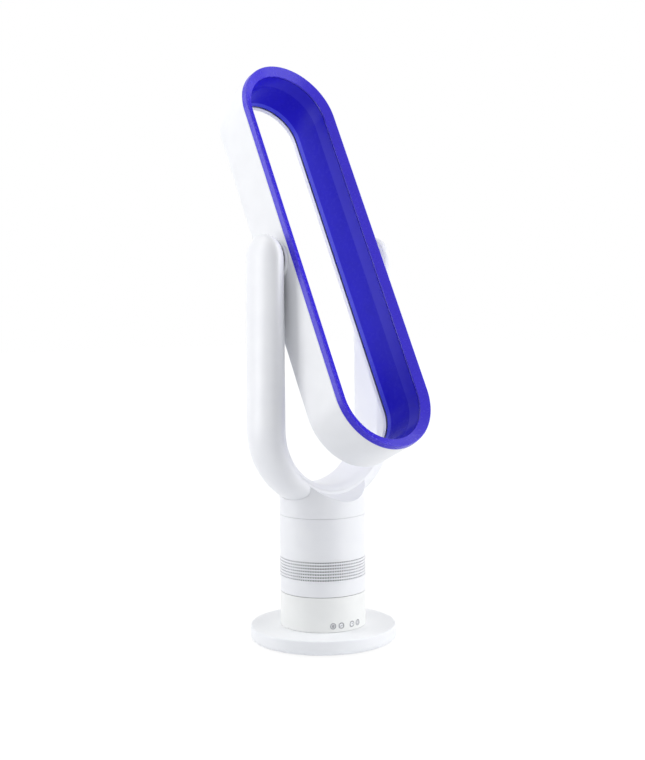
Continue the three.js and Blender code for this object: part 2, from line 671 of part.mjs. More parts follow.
// One blade as a twisted strip from an inner to an outer radius, between two heights.
function blade(inner, outer, low, high, rootTurn, tipTurn, thickness, steps) {
  const chains = [];
  for (let i = 0; i <= steps; i += 1) {
    const t = i / steps;
    const z = THREE.MathUtils.lerp(low, high, t);
    const corner = (radius, turn, side) => {
      const angle = radians(turn) * t + side * thickness / 2 / radius;
      return new THREE.Vector3(radius * Math.cos(angle), radius * Math.sin(angle), z);
    };
    chains.push([
      corner(inner(t), rootTurn, -1), corner(outer, tipTurn, -1),
      corner(outer, tipTurn, 1), corner(inner(t), rootTurn, 1),
    ]);
  }
  const triangles = [];
  stitch(triangles, chains, true);
  const [a, b, c, d] = chains[0];
  const [e, f, g, h] = chains.at(-1);
  triangles.push(a, c, b, a, d, c, e, f, g, e, g, h);
  return solid(fromTriangles(triangles));
}

function makeBlower() {
  const gasketInner = COLUMN_INNER - SHELF_WIDTH;
  const gasket = ring(gasketInner, COLUMN_INNER - SEAT, SHELF_TOP + SEAT, GASKET_TOP,
    INNER_ROUND);
  add('bucket_gasket', gasket, rubber);

  const bucketOuter = BUCKET_RADIUS + BUCKET_WALL;
  const flangeRadius = COLUMN_INNER - SEAT;
  const bellTop = BUCKET_BOTTOM + BELL_FLARE * 1.5;
  const bucket = revolve([
    [BUCKET_RADIUS + BELL_FLARE, BUCKET_BOTTOM], [BUCKET_RADIUS + 2, BUCKET_BOTTOM + 3],
    [BUCKET_RADIUS, bellTop], [BUCKET_RADIUS, BUCKET_TOP], [bucketOuter, BUCKET_TOP],
    [bucketOuter, FLANGE_Z + BUCKET_FLANGE], [flangeRadius, FLANGE_Z + BUCKET_FLANGE],
    [flangeRadius, FLANGE_Z], [bucketOuter, FLANGE_Z], [bucketOuter, bellTop + 1],
    [bucketOuter + 2, BUCKET_BOTTOM + 4],
    [bucketOuter + BELL_FLARE, BUCKET_BOTTOM + 1],
  ], INNER_ROUND);

  const sealTop = COLLAR_Z - SEAT;
  const ductSeal = ring(BUCKET_RADIUS, BUCKET_RADIUS + SEAL_WIDTH, BUCKET_TOP + SEAT, sealTop,
    INNER_ROUND);
  add('duct_seal', ductSeal, rubber);

  const motorTop = MOTOR_Z + MOTOR_HEIGHT;
  const bearingSeat = MOTOR_Z - BEARING_HEIGHT;
  const motor = revolve([
    [0, MOTOR_Z], [BEARING_RADIUS + SEAT, MOTOR_Z], [BEARING_RADIUS + SEAT, bearingSeat],
    [BEARING_RADIUS + 3, bearingSeat], [BEARING_RADIUS + 3, MOTOR_Z], [MOTOR_RADIUS - 2, MOTOR_Z],
    [MOTOR_RADIUS, MOTOR_Z + 2], [MOTOR_RADIUS, motorTop], [0, motorTop],
  ], INNER_ROUND);
  add('blower_motor', motor, steel);
  add('motor_bearing', ring(BEARING_BORE, BEARING_RADIUS, bearingSeat, MOTOR_Z - SEAT,
    SMALL_ROUND), steel);

  const hubInner = MOTOR_RADIUS + SEAT;
  const vaneZ = MOTOR_Z + 4;
  const vaneTop = vaneZ + VANE_HEIGHT;
  const hubRing = solid(ring(hubInner, hubInner + RING_WALL, vaneZ, vaneTop, INNER_ROUND));
  const vane = blade(() => hubInner + RING_WALL / 2, BUCKET_RADIUS + BUCKET_WALL / 2, vaneZ + 1,
    vaneTop - 1, -VANE_TURN, -VANE_TURN, VANE_THICKNESS, 2);
  const vanes = around(VANE_COUNT, 1).map(({ angle }) => (
    vane.rotate([0, 0, THREE.MathUtils.radToDeg(angle)])));
  add('motor_bucket', join(solid(bucket), hubRing, ...vanes), darkPlastic);

  const tailZ = motorTop + SEAT;
  const tail = revolve([
    [0, tailZ], [MOTOR_RADIUS, tailZ], [MOTOR_RADIUS * 0.94, tailZ + TAIL_HEIGHT * 0.4],
    [MOTOR_RADIUS * 0.6, tailZ + TAIL_HEIGHT * 0.85], [0, tailZ + TAIL_HEIGHT],
  ], INNER_ROUND);
  add('motor_tail_cap', tail, darkPlastic);

  // The hub swells from its nose to its top, and the blades follow it.
  const hubAt = (t) => THREE.MathUtils.lerp(IMPELLER_HUB_NOSE, IMPELLER_HUB_TOP, Math.sqrt(t));
  const boreRadius = SHAFT_RADIUS + SEAT;
  const hubProfile = [[boreRadius, IMPELLER_Z]];
  for (let i = 0; i <= BLADE_STEPS; i += 1) {
    hubProfile.push([hubAt(i / BLADE_STEPS), IMPELLER_Z + IMPELLER_HEIGHT * i / BLADE_STEPS]);
  }
  hubProfile.push([boreRadius, IMPELLER_TOP]);
  const bladeRoot = (t) => hubAt(t) - 2;
  const tip = BUCKET_RADIUS - IMPELLER_CLEARANCE;
  const one = blade(bladeRoot, tip, IMPELLER_Z + 0.5, IMPELLER_TOP - 0.5, BLADE_ROOT_TURN,
    BLADE_TIP_TURN, BLADE_THICKNESS, BLADE_STEPS);
  const blades = around(BLADE_COUNT, 1).map(({ angle }) => (
    one.rotate([0, 0, THREE.MathUtils.radToDeg(angle)])));
  const bore = solid(disc(boreRadius, IMPELLER_Z - 1, IMPELLER_TOP + 1, SMALL_ROUND));
  const hub = solid(revolve(hubProfile, INNER_ROUND));
  add('impeller', cut(join(hub, ...blades), bore), darkPlastic);

  const shaftTop = MOTOR_Z - SEAT;
  add('motor_shaft', disc(SHAFT_RADIUS, shaftTop - SHAFT_LENGTH, shaftTop, SMALL_ROUND), steel);
  const capTop = IMPELLER_Z - SEAT;
  const cap = revolve([
    [0, capTop], [IMPELLER_HUB_NOSE, capTop], [IMPELLER_HUB_NOSE * 0.8, capTop - CAP_HEIGHT * 0.6],
    [0, capTop - CAP_HEIGHT],
  ], SMALL_ROUND);
  add('impeller_cap', cap, steel);
}

// ---------------------------------------------------------------- yoke

// Half of an arm's D-shaped section, as [distance outwards from the inner face, depth] points
// from the face's middle round a corner and the crown to the outer side's middle.
function faceToSplit(inset) {
  const radius = YOKE_CORNER - inset;
  const turn = Math.acos((YOKE_CORNER - YOKE_SPLIT) / radius);
  const points = [[inset, 0]];
  for (let i = 0; i <= CORNER_STEPS; i += 1) {
    const angle = turn * i / CORNER_STEPS;
    points.push([
      YOKE_CORNER - radius * Math.cos(angle),
      HALF_DEPTH - YOKE_CORNER + radius * Math.sin(angle),
    ]);
  }
  return points;
}

function splitToCrown(thickness, inset, split) {
  const radius = YOKE_CORNER - inset;
  const turn = Math.acos((YOKE_CORNER - split) / radius);
  const points = [];
  for (let i = 0; i < 2; i += 1) {
    const angle = THREE.MathUtils.lerp(turn, Math.PI / 2, i / 2);
    points.push([
      YOKE_CORNER - radius * Math.cos(angle),
      HALF_DEPTH - YOKE_CORNER + radius * Math.sin(angle),
    ]);
  }
  for (let i = 0; i <= CROWN_STEPS; i += 1) {
    const angle = Math.PI / 2 * i / CROWN_STEPS;
    points.push([
      YOKE_CORNER + (thickness - inset - YOKE_CORNER) * Math.sin(angle),
      (HALF_DEPTH - inset) * Math.cos(angle),
    ]);
  }
  points.at(-1)[1] = 0;
  return points;
}

// Sweeps a half section, and its mirror image, down one arm, round the bow and up the other,
// and closes each tip with a dome about the tilt axis.
function sweepYoke(halfSection) {
  const chainAt = (refX, refZ, outX, outZ, thickness) => halfSection(thickness)
    .map(([p, q]) => new THREE.Vector3(refX + outX * p, q, refZ + outZ * p));
  const stations = [[1, 0]];
  for (let i = 0; i <= BOW_STEPS; i += 1) {
    const angle = -Math.PI * i / BOW_STEPS;
    stations.push([Math.cos(angle), Math.sin(angle)]);
  }
  stations.push([-1, 0]);
  const rings = stations.map(([outX, outZ], i) => {
    const tip = i === 0 || i === stations.length - 1;
    const z = tip ? PIVOT_HEIGHT : BOW_CENTRE_Z + YOKE_HALF_GAP * outZ;
    const thickness = tip ? YOKE_TIP_THICKNESS : YOKE_THICKNESS;
    const half = chainAt(YOKE_HALF_GAP * outX, z, outX, outZ, thickness);
    const mirrored = half.slice(1, -1).reverse().map((p) => new THREE.Vector3(p.x, -p.y, p.z));
    return [...half, ...mirrored];
  });
  const triangles = [];
  stitch(triangles, rings, true);
  for (const side of [1, -1]) {
    const half = chainAt(YOKE_HALF_GAP * side, PIVOT_HEIGHT, side, 0, YOKE_TIP_THICKNESS);
    const dome = [];
    for (let i = 0; i <= DOME_STEPS; i += 1) {
      const angle = Math.PI * i / DOME_STEPS;
      dome.push(half.map((p) => new THREE.Vector3(
        p.x, p.y * Math.cos(angle), PIVOT_HEIGHT + p.y * Math.sin(angle),
      )));
    }
    stitch(triangles, dome, false, side === 1);
  }
  return solid(fromTriangles(triangles));
}

function acrossArms(geometry) {
  return [1, -1].map((side) => solid(geometry.clone().rotateY(side * Math.PI / 2)
    .translate(0, 0, PIVOT_HEIGHT)));
}

const bushOuter = JOURNAL_RADIUS + SEAT + BUSH_WALL;
const bushStart = YOKE_HALF_GAP + WALL + SEAT;

function makeYoke() {
  const coverHalf = () => [
    ...faceToSplit(0), ...faceToSplit(WALL).reverse(),
  ];
  const shellHalf = (thickness) => [
    ...splitToCrown(thickness, 0, YOKE_SPLIT + SEAT).reverse(),
    ...splitToCrown(thickness, WALL, YOKE_SPLIT + SEAT),
  ];
  const sealHole = disc(bushOuter + SEAT, YOKE_HALF_GAP - PAST, YOKE_HALF_GAP + WALL + PAST,
    TILT_ROUND);
  const socket = ring(bushOuter + SEAT, bushOuter + SEAT + SOCKET_WALL,
    YOKE_HALF_GAP + WALL - OVERLAP, bushStart + BUSH_LENGTH, TILT_ROUND);
  const cover = cut(join(sweepYoke(coverHalf), ...acrossArms(socket)), ...acrossArms(sealHole));
  add('yoke_cover', cover, white);

  const duct = solid(disc(YOKE_DUCT_RADIUS, 0, YOKE_BOW_BOTTOM - YOKE_CORNER, INNER_ROUND));
  add('yoke_shell', cut(sweepYoke(shellHalf), duct), white);
}

function makeCollar() {
  const envelope = sweepYoke((thickness) => [
    ...faceToSplit(-SEAT),
    ...splitToCrown(thickness + SEAT, 0, YOKE_SPLIT + SEAT)
      .map(([p, q]) => [p, q * (1 + SEAT / HALF_DEPTH)]),
  ]);
  const boreTop = SCOOP_FRONT_Z + OVERLAP;
  const skirtOuter = COLUMN_INNER - SEAT;
  const blank = revolve([
    [0, boreTop], [COLLAR_BORE, boreTop], [COLLAR_BORE, COLLAR_Z],
    [skirtOuter - WALL, COLLAR_Z], [skirtOuter - WALL, COLLAR_Z - COLLAR_SKIRT],
    [skirtOuter, COLLAR_Z - COLLAR_SKIRT], [skirtOuter, COLLAR_Z], [COLUMN_RADIUS, COLLAR_Z],
    [COLUMN_RADIUS, BOW_CENTRE_Z], [0, BOW_CENTRE_Z],
  ]);
  // Two round scoops fall away from the middle, one to the front and one to the back.
  const slope = radians(COLLAR_SCOOP_SLOPE);
  const axisZ = SCOOP_FRONT_Z + COLUMN_RADIUS * Math.tan(slope)
    + COLLAR_SCOOP_RADIUS / Math.cos(slope);
  const reach = COLUMN_RADIUS * 2;
  const scoops = [1, -1].map((side) => {
    const tool = disc(COLLAR_SCOOP_RADIUS, -reach, reach, ROUND);
    return solid(tool.rotateX(side * (Math.PI / 2 + slope)).translate(0, 0, axisZ));
  });
  add('collar', cut(solid(blank), envelope, ...scoops), white);
}

// ---------------------------------------------------------------- loop

const loopRadius = LOOP_WIDTH / 2;
const loopStraight = (LOOP_LENGTH - LOOP_WIDTH) / 2;

// Sweeps a section of [inset, depth] points round the racetrack, in the loop's own frame.
function sweepLoop(section) {
  const chains = [];
  for (const [centre, start] of [[loopStraight, 0], [-loopStraight, Math.PI]]) {
    for (let i = 0; i <= LOOP_ARC_STEPS; i += 1) {
      const angle = start + Math.PI * i / LOOP_ARC_STEPS;
      chains.push(section.map(([inset, depth]) => new THREE.Vector3(
        (loopRadius - inset) * Math.cos(angle),
        depth - LOOP_AHEAD,
        centre + (loopRadius - inset) * Math.sin(angle),
      )));
    }
  }
  chains.push(chains[0]);
  const triangles = [];
  stitch(triangles, chains, true);
  return solid(fromTriangles(triangles));
}

// The outer wall's inset at a depth behind the rim.
function casingInset(depth) {
  const share = (depth - BAND_DEPTH) / (LOOP_DEPTH - BAND_DEPTH);
  return THREE.MathUtils.lerp(-BAND_FLARE, CASING_DRAFT, share);
}

// A place on the racetrack at a share of its length, with the direction that points outwards.
function onRacetrack(share) {
  const arc = Math.PI * loopRadius;
  const side = 2 * loopStraight;
  let way = share * 2 * (arc + side);
  const half = way < arc + side ? 1 : -1;
  way -= half === 1 ? 0 : arc + side;
  const angle = way < arc ? way / loopRadius : Math.PI;
  const drop = way < arc ? 0 : way - arc;
  return { angle: half === 1 ? angle : angle + Math.PI, z: half * (loopStraight - drop) };
}

function makeLoop() {
  const inner = RIM_WALL - BAND_FLARE;
  const rim = sweepLoop([
    [0, RIM_EDGE], [RIM_EDGE, 0], [BEVEL_WIDTH, BEVEL_DEPTH],
    [BEVEL_WIDTH, BEVEL_DEPTH + RIM_WALL], [RIM_WALL, RIM_WALL * 1.4],
    [inner, BAND_DEPTH], [-BAND_FLARE, BAND_DEPTH],
  ]);
  add('loop_rim', rim, violet, loop);

  const throatFront = BEVEL_DEPTH + RIM_WALL + SEAT;
  const nose = THROAT_END_INSET - THROAT_WALL / 2;
  const slotFace = THROAT_END_INSET + SLOT_WIDTH;
  const lipFront = LOOP_DEPTH - LIP_LENGTH;
  const wall = sweepLoop([
    [BEVEL_WIDTH, throatFront], [THROAT_KNEE_INSET, THROAT_KNEE_DEPTH],
    [THROAT_END_INSET, THROAT_END_DEPTH], [nose, THROAT_END_DEPTH + THROAT_WALL],
    [THROAT_END_INSET - THROAT_WALL, THROAT_END_DEPTH],
    [THROAT_KNEE_INSET - THROAT_WALL, THROAT_KNEE_DEPTH],
    [BEVEL_WIDTH - THROAT_WALL, throatFront],
  ]);
  const spacers = Array.from({ length: SPACER_COUNT }, (_, i) => {
    const { angle, z } = onRacetrack((i + 0.5) / SPACER_COUNT);
    const height = slotFace - SEAT - nose;
    const reach = loopRadius - nose - height / 2;
    const spacer = block(height, SPACER_LENGTH, SPACER_SIZE);
    const depth = lipFront + SPACER_LENGTH / 2 - LOOP_AHEAD;
    return solid(spacer.translate(reach, depth, 0).rotateY(-angle).translate(0, 0, z));
  });
  add('loop_throat', join(wall, ...spacers), violet, loop);

  const front = BAND_DEPTH + SEAT;
  const back = LOOP_DEPTH;
  const bend = LOOP_DEPTH - CASING_BACK_ROUND;
  const lipBack = slotFace + LIP_FLARE;
  const casing = sweepLoop([
    [casingInset(front), front], [casingInset(bend), bend],
    [casingInset(bend) + CASING_BACK_INSET * 0.3, back - CASING_BACK_ROUND * 0.35],
    [casingInset(bend) + CASING_BACK_INSET, back],
    [lipBack + WALL * 0.4, back], [lipBack + WALL, back - WALL],
    [slotFace + WALL * 0.7, lipFront], [slotFace, lipFront],
    [lipBack - SEAT * 2, back - WALL], [casingInset(bend) + CASING_BACK_INSET, back - WALL],
    [casingInset(bend) + WALL, bend], [casingInset(front) + RIM_WALL, front],
  ]);
  const airHole = disc(JOURNAL_BORE + WALL + SEAT, loopRadius - CASING_DRAFT - PAST,
    loopRadius + PAST, TILT_ROUND);
  const airHoles = [1, -1].map((side) => solid(airHole.clone().rotateY(side * Math.PI / 2)));
  add('loop_casing', cut(casing, ...airHoles), white, loop);
}

// ---------------------------------------------------------------- tilt bearings

function makeTiltBearings() {
  // The boss is cut to lie against the casing's drafted side.
  const grown = sweepLoop([
    [casingInset(BAND_DEPTH) - SEAT, BAND_DEPTH - SEAT],
    [casingInset(LOOP_DEPTH) - SEAT, LOOP_DEPTH],
    [THROAT_END_INSET, LOOP_DEPTH], [THROAT_END_INSET, BAND_DEPTH - SEAT],
  ]);
  const bossFace = YOKE_HALF_GAP - SEAT;
  const bossStart = loopRadius - CASING_DRAFT - OVERLAP;
  const boss = revolve([
    [JOURNAL_BORE, bossStart], [BOSS_RADIUS, bossStart],
    [BOSS_RADIUS, bossFace - BOSS_CHAMFER], [BOSS_RADIUS - BOSS_CHAMFER, bossFace],
    [JOURNAL_RADIUS, bossFace], [JOURNAL_RADIUS, bossFace + JOURNAL_LENGTH],
    [JOURNAL_BORE, bossFace + JOURNAL_LENGTH],
  ], TILT_ROUND);
  const spigotEnd = loopRadius - SPIGOT_LENGTH;
  const spigot = ring(JOURNAL_BORE, JOURNAL_BORE + WALL, spigotEnd, bossFace - OVERLAP,
    TILT_ROUND);
  for (const [side, name] of [[1, 'right'], [-1, 'left']]) {
    const turned = (geometry) => geometry.clone().rotateY(side * Math.PI / 2);
    const trunnion = join(solid(turned(boss)).subtract(grown), solid(turned(spigot)));
    add(`trunnion_${name}`, trunnion, white, loop);

    const snapZ = bushStart + BUSH_LENGTH + SEAT;
    const snap = ring(JOURNAL_RADIUS + SEAT, JOURNAL_RADIUS + SNAP_RING_WIDTH, snapZ,
      snapZ + SNAP_RING_HEIGHT, TILT_ROUND);
    add(`snap_ring_${name}`, turned(snap), steel, loop);

    const upright = (geometry) => turned(geometry).translate(0, 0, PIVOT_HEIGHT);
    const bush = ring(JOURNAL_RADIUS + SEAT, bushOuter, bushStart, bushStart + BUSH_LENGTH,
      TILT_ROUND);
    add(`tilt_bush_${name}`, upright(bush), paleAcetal);
    const seal = ring(JOURNAL_RADIUS + SEAT, JOURNAL_RADIUS + SEAT + SEAL_RING_WIDTH,
      YOKE_HALF_GAP, bushStart - SEAT, TILT_ROUND);
    add(`tilt_seal_${name}`, upright(seal), rubber);
  }
}

makeBase();
makeControls();
makeSwingDrive();
makeMotorHousing();
makeBlower();
makeCollar();
makeYoke();
makeLoop();
makeTiltBearings();

// The origin lies on the floor, below the middle of the whole fan.
const extent = new THREE.Box3().setFromObject(fan, true);
fan.position.y = -(extent.min.y + extent.max.y) / 2;

export default fan;
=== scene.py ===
# A floor-standing bladeless fan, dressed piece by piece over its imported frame.
# Metres, +Z up. The front of the fan is -Y, and it stands on Z = 0.

import json
import math

import bmesh
import bpy
from mathutils import Matrix, Vector


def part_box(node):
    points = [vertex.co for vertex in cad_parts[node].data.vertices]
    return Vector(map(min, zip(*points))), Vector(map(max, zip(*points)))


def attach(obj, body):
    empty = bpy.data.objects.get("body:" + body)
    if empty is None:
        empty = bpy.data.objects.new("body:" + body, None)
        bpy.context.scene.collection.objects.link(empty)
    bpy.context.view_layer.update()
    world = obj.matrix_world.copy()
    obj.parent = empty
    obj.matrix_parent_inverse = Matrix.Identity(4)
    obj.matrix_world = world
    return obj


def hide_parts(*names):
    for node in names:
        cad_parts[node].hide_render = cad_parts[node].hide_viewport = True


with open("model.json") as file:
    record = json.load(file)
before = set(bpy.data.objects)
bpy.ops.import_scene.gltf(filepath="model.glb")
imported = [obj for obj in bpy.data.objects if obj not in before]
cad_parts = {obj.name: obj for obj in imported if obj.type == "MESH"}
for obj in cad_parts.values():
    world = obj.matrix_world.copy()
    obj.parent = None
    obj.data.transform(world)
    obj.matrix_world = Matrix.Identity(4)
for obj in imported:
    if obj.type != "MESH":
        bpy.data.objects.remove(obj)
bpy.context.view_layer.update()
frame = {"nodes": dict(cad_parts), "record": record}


# ------------------------------------------------------------------ camera
# The view from the left of the front, a little above the level. It is aimed at the column's axis
# and looks past it by a few millimetres, as the picture is framed.

MM = 0.001
column_low, column_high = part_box("control_housing")
AXIS_Y = (column_low[1] + column_high[1]) / 2

VIEW_AZIMUTH = math.radians(-38.856)
VIEW_ELEVATION = math.radians(3.503)
VIEW_ROLL = math.radians(0.528)
VIEW_DISTANCE = 2038.5 * MM
AIM_HEIGHT = 426.5 * MM
AIM_PAST = 2.25 * MM
SENSOR = 36.0  # mm, as is the lens
LENS = 59.34


def towards(azimuth, elevation):
    """The direction from the fan to a place seen at an azimuth from the front."""
    level = math.cos(elevation)
    return Vector((math.sin(azimuth) * level, -math.cos(azimuth) * level, math.sin(elevation)))


back = towards(VIEW_AZIMUTH, VIEW_ELEVATION)
right = Vector((math.cos(VIEW_AZIMUTH), math.sin(VIEW_AZIMUTH), 0))
up = back.cross(right)
camera_x = right * math.cos(VIEW_ROLL) - up * math.sin(VIEW_ROLL)
camera_y = right * math.sin(VIEW_ROLL) + up * math.cos(VIEW_ROLL)
aim = Vector((0, AXIS_Y, AIM_HEIGHT)) + camera_x * AIM_PAST
camera_data = bpy.data.cameras.new("camera")
camera_data.sensor_fit = "VERTICAL"
camera_data.sensor_height = SENSOR
camera_data.lens = LENS
camera = bpy.data.objects.new("camera", camera_data)
camera.matrix_world = Matrix.Translation(aim + back * VIEW_DISTANCE) @ Matrix(
    (camera_x, camera_y, back)).transposed().to_4x4()
bpy.context.scene.collection.objects.link(camera)
bpy.context.scene.camera = camera
bpy.context.scene.view_settings.view_transform = "Standard"


# ------------------------------------------------------------------ light
# Three tall soft boxes, one to the left of the view and two to its right, and a raised one on each
# side. None stands near the camera, so that round white mouldings are brightest towards their
# sides and greyer along the middle.

LIGHT_REACH = 1.9
SOFT_BOXES = [
    # name, azimuth, elevation, width, height, watts
    ("left_box", -124, 10, 0.8, 1.8, 14.0),
    ("right_front_box", 21, 10, 0.8, 1.8, 9.4),
    ("right_box", 46, 10, 0.8, 1.8, 7.6),
    ("upper_left_box", -129, 50, 1.2, 1.0, 9.6),
    ("upper_right_box", 51, 50, 1.2, 1.0, 9.3),
]

for name, azimuth, elevation, width, height, watts in SOFT_BOXES:
    light = bpy.data.lights.new(name, "AREA")
    light.shape = "RECTANGLE"
    light.size = width
    light.size_y = height
    light.energy = watts
    holder = bpy.data.objects.new(name, light)
    direction = towards(math.radians(azimuth), math.radians(elevation))
    holder.location = Vector((0, AXIS_Y, AIM_HEIGHT)) + direction * LIGHT_REACH
    holder.rotation_euler = direction.to_track_quat("Z", "Y").to_euler()
    bpy.context.scene.collection.objects.link(holder)


# ------------------------------------------------------------------ background
# White all round where the camera, gloss or glass sees it, and a weaker even light on the fan.

AMBIENT = 0.41


def linear(code):
    """An sRGB hex colour as linear RGBA."""
    channels = [int(code[i:i + 2], 16) / 255 for i in (0, 2, 4)]
    return [c / 12.92 if c <= 0.04045 else ((c + 0.055) / 1.055) ** 2.4 for c in channels] + [1]


def add_node(tree, kind, inputs=None, **settings):
    """Adds a node with its settings, and sets or links its inputs."""
    node = tree.nodes.new(kind)
    for key, value in settings.items():
        setattr(node, key, value)
    for key, value in (inputs or {}).items():
        if isinstance(value, bpy.types.NodeSocket):
            tree.links.new(value, node.inputs[key])
        else:
            node.inputs[key].default_value = value
    return node


def seen_by_eye(tree):
    """1 for rays that show a background: from the camera, in gloss and through glass."""
    path = add_node(tree, "ShaderNodeLightPath")
    gloss = add_node(tree, "ShaderNodeMath", {
        0: path.outputs["Is Glossy Ray"], 1: path.outputs["Is Transmission Ray"],
    }, operation="MAXIMUM")
    seen = add_node(tree, "ShaderNodeMath", {
        0: gloss.outputs[0], 1: path.outputs["Is Camera Ray"],
    }, operation="MAXIMUM")
    return seen.outputs[0]


world = bpy.data.worlds.new("white_room")
world.use_nodes = True
tree = world.node_tree
tree.nodes.clear()
ambient = add_node(tree, "ShaderNodeBackground", {"Color": linear("FAFBFF"), "Strength": AMBIENT})
white = add_node(tree, "ShaderNodeBackground", {"Color": linear("FFFFFF"), "Strength": 1.0})
mix = add_node(tree, "ShaderNodeMixShader", {
    0: seen_by_eye(tree), 1: ambient.outputs[0], 2: white.outputs[0],
})
add_node(tree, "ShaderNodeOutputWorld", {"Surface": mix.outputs[0]})
bpy.context.scene.world = world


# ------------------------------------------------------------------ floor
# A plain pale floor that fades into the white background and keeps a faint shadow of the fan.

FLOOR_REACH = 12.0
FLOOR_DROP = 0.2 * MM
FLOOR_SHADOW = 0.13
FLOOR_GLOW = 1.08
FADE_START = 0.12
FADE_END = 0.32

corners = [(-1, -1), (1, -1), (1, 1), (-1, 1)]
floor_mesh = bpy.data.meshes.new("floor")
floor_mesh.from_pydata(
    [(x * FLOOR_REACH, y * FLOOR_REACH, -FLOOR_DROP) for x, y in corners], [], [(0, 1, 2, 3)])
floor = bpy.data.objects.new("floor", floor_mesh)
bpy.context.scene.collection.objects.link(floor)
floor_paint = bpy.data.materials.new("floor_paint")
floor_paint.use_nodes = True
tree = floor_paint.node_tree
tree.nodes.clear()
matt = add_node(tree, "ShaderNodeBsdfDiffuse", {"Color": linear("F2F3F5")})
glow = add_node(tree, "ShaderNodeEmission", {
    "Color": linear("FFFFFF"), "Strength": FLOOR_GLOW,
})
spot = add_node(tree, "ShaderNodeTexCoord").outputs["Object"]
away = add_node(tree, "ShaderNodeVectorMath", {0: spot, 1: (0, AXIS_Y, 0)}, operation="DISTANCE")
shade = add_node(tree, "ShaderNodeMapRange", {
    "Value": away.outputs["Value"], "From Min": FADE_START, "From Max": FADE_END,
    "To Min": FLOOR_SHADOW, "To Max": 0.0,
}, interpolation_type="SMOOTHSTEP")
faded = add_node(tree, "ShaderNodeMixShader", {
    0: shade.outputs["Result"], 1: glow.outputs[0], 2: matt.outputs[0],
})
shown = add_node(tree, "ShaderNodeMixShader", {
    0: seen_by_eye(tree), 1: matt.outputs[0], 2: faded.outputs[0],
})
add_node(tree, "ShaderNodeOutputMaterial", {"Surface": shown.outputs[0]})
floor_mesh.materials.append(floor_paint)


# ------------------------------------------------------------------ rubber feet
# Five moulded rubber pads under the base, glued into shallow pockets. Rubber is dull and nearly
# black, with a fine sandblasted grain from its mould.

FOOT_COUNT = 5
FOOT_EDGE = 0.8 * MM
FOOT_DISH = 0.5 * MM
DISH_RADIUS = 0.45  # of the dish's floor, as a share of the pad's radius
DISH_BRIM = 0.55  # of the dish's edge
RUBBER_GRAIN = 0.4 * MM  # a blasted grain of about 0.1 mm, drawn coarser so that it shows
RUBBER_CLOUD = 9 * MM
FINE_ROUND = 0.3 * MM
SMALL_FACETS = 64
STRAIGHT = math.radians(179)
CREASE = 38  # degrees from which an edge stays crisp
WELD = 0.002 * MM
NOISE_LOW = 0.3  # most of a noise pattern lies between these two
NOISE_HIGH = 0.7
NOISE_DETAIL = 2.0
NOISE_ROUGHNESS = 0.55


def rounded(corners, steps=5):
    """The outline of (x, y, radius) corners, going round, with an arc at each that has a radius."""
    points = []
    for i, (x, y, radius) in enumerate(corners):
        here = Vector((x, y))
        before = (Vector(corners[i - 1][:2]) - here).normalized()
        after = (Vector(corners[(i + 1) % len(corners)][:2]) - here).normalized()
        between = before.angle(after)
        if radius == 0 or between > STRAIGHT:
            points.append((x, y))
            continue
        start = before * radius / math.tan(between / 2)
        centre = (before + after).normalized() * radius / math.sin(between / 2)
        first = math.atan2(*(start - centre).yx)
        turn = math.pi - between
        if before.x * after.y - before.y * after.x > 0:
            turn = -turn
        for k in range(steps + 1):
            angle = first + turn * k / steps
            points.append((x + centre.x + radius * math.cos(angle),
                           y + centre.y + radius * math.sin(angle)))
    return points


def skin(chains, closed_path, closed_section=True):
    """A bmesh whose faces join neighbouring chains of points. Points that coincide are merged."""
    mesh = bmesh.new()
    rows = [[mesh.verts.new(point) for point in chain] for chain in chains]
    pairs = zip(rows, rows[1:] + rows[:1]) if closed_path else zip(rows, rows[1:])
    for here, following in pairs:
        count = len(here) if closed_section else len(here) - 1
        for k in range(count):
            m = (k + 1) % len(here)
            mesh.faces.new((here[k], here[m], following[m], following[k]))
    bmesh.ops.remove_doubles(mesh, verts=mesh.verts, dist=WELD)
    bmesh.ops.dissolve_degenerate(mesh, edges=mesh.edges, dist=WELD / 2)
    bmesh.ops.recalc_face_normals(mesh, faces=mesh.faces)
    return mesh


def lathe(outline, centre, segments=144, closed=True):
    """A bmesh of an outline of (radius, height) points turned round an upright axis."""
    chains = []
    for k in range(segments):
        angle = 2 * math.pi * k / segments
        chains.append([(centre[0] + r * math.cos(angle), centre[1] + r * math.sin(angle), z)
                       for r, z in outline])
    return skin(chains, closed_path=True, closed_section=closed)


def piece_from(name, mesh, material, sharp=CREASE):
    """A piece with smooth faces and crisp edges, made from a bmesh."""
    data = bpy.data.meshes.new(name)
    mesh.to_mesh(data)
    mesh.free()
    data.materials.append(material)
    piece = bpy.data.objects.new(name, data)
    bpy.context.scene.collection.objects.link(piece)
    settle(piece, sharp)
    return piece


def settle(piece, sharp=CREASE):
    """Smooths a piece, keeps its edges over an angle crisp and its flat faces flat."""
    piece.data.shade_smooth()
    piece.data.set_sharp_from_angle(angle=math.radians(sharp))
    weighted = piece.modifiers.new("flat_faces", "WEIGHTED_NORMAL")
    weighted.keep_sharp = True
    bake(piece)


def bake(piece):
    """Applies a piece's modifiers to its mesh."""
    depsgraph = bpy.context.evaluated_depsgraph_get()
    done = bpy.data.meshes.new_from_object(piece.evaluated_get(depsgraph), depsgraph=depsgraph)
    old = piece.data
    piece.modifiers.clear()
    piece.data = done
    done.name = old.name
    bpy.data.meshes.remove(old)


def new_material(name):
    """An empty material, with its tree, and the object's own coordinates in metres."""
    material = bpy.data.materials.new(name)
    material.use_nodes = True
    tree = material.node_tree
    tree.nodes.clear()
    place = add_node(tree, "ShaderNodeTexCoord").outputs["Object"]
    return material, tree, place


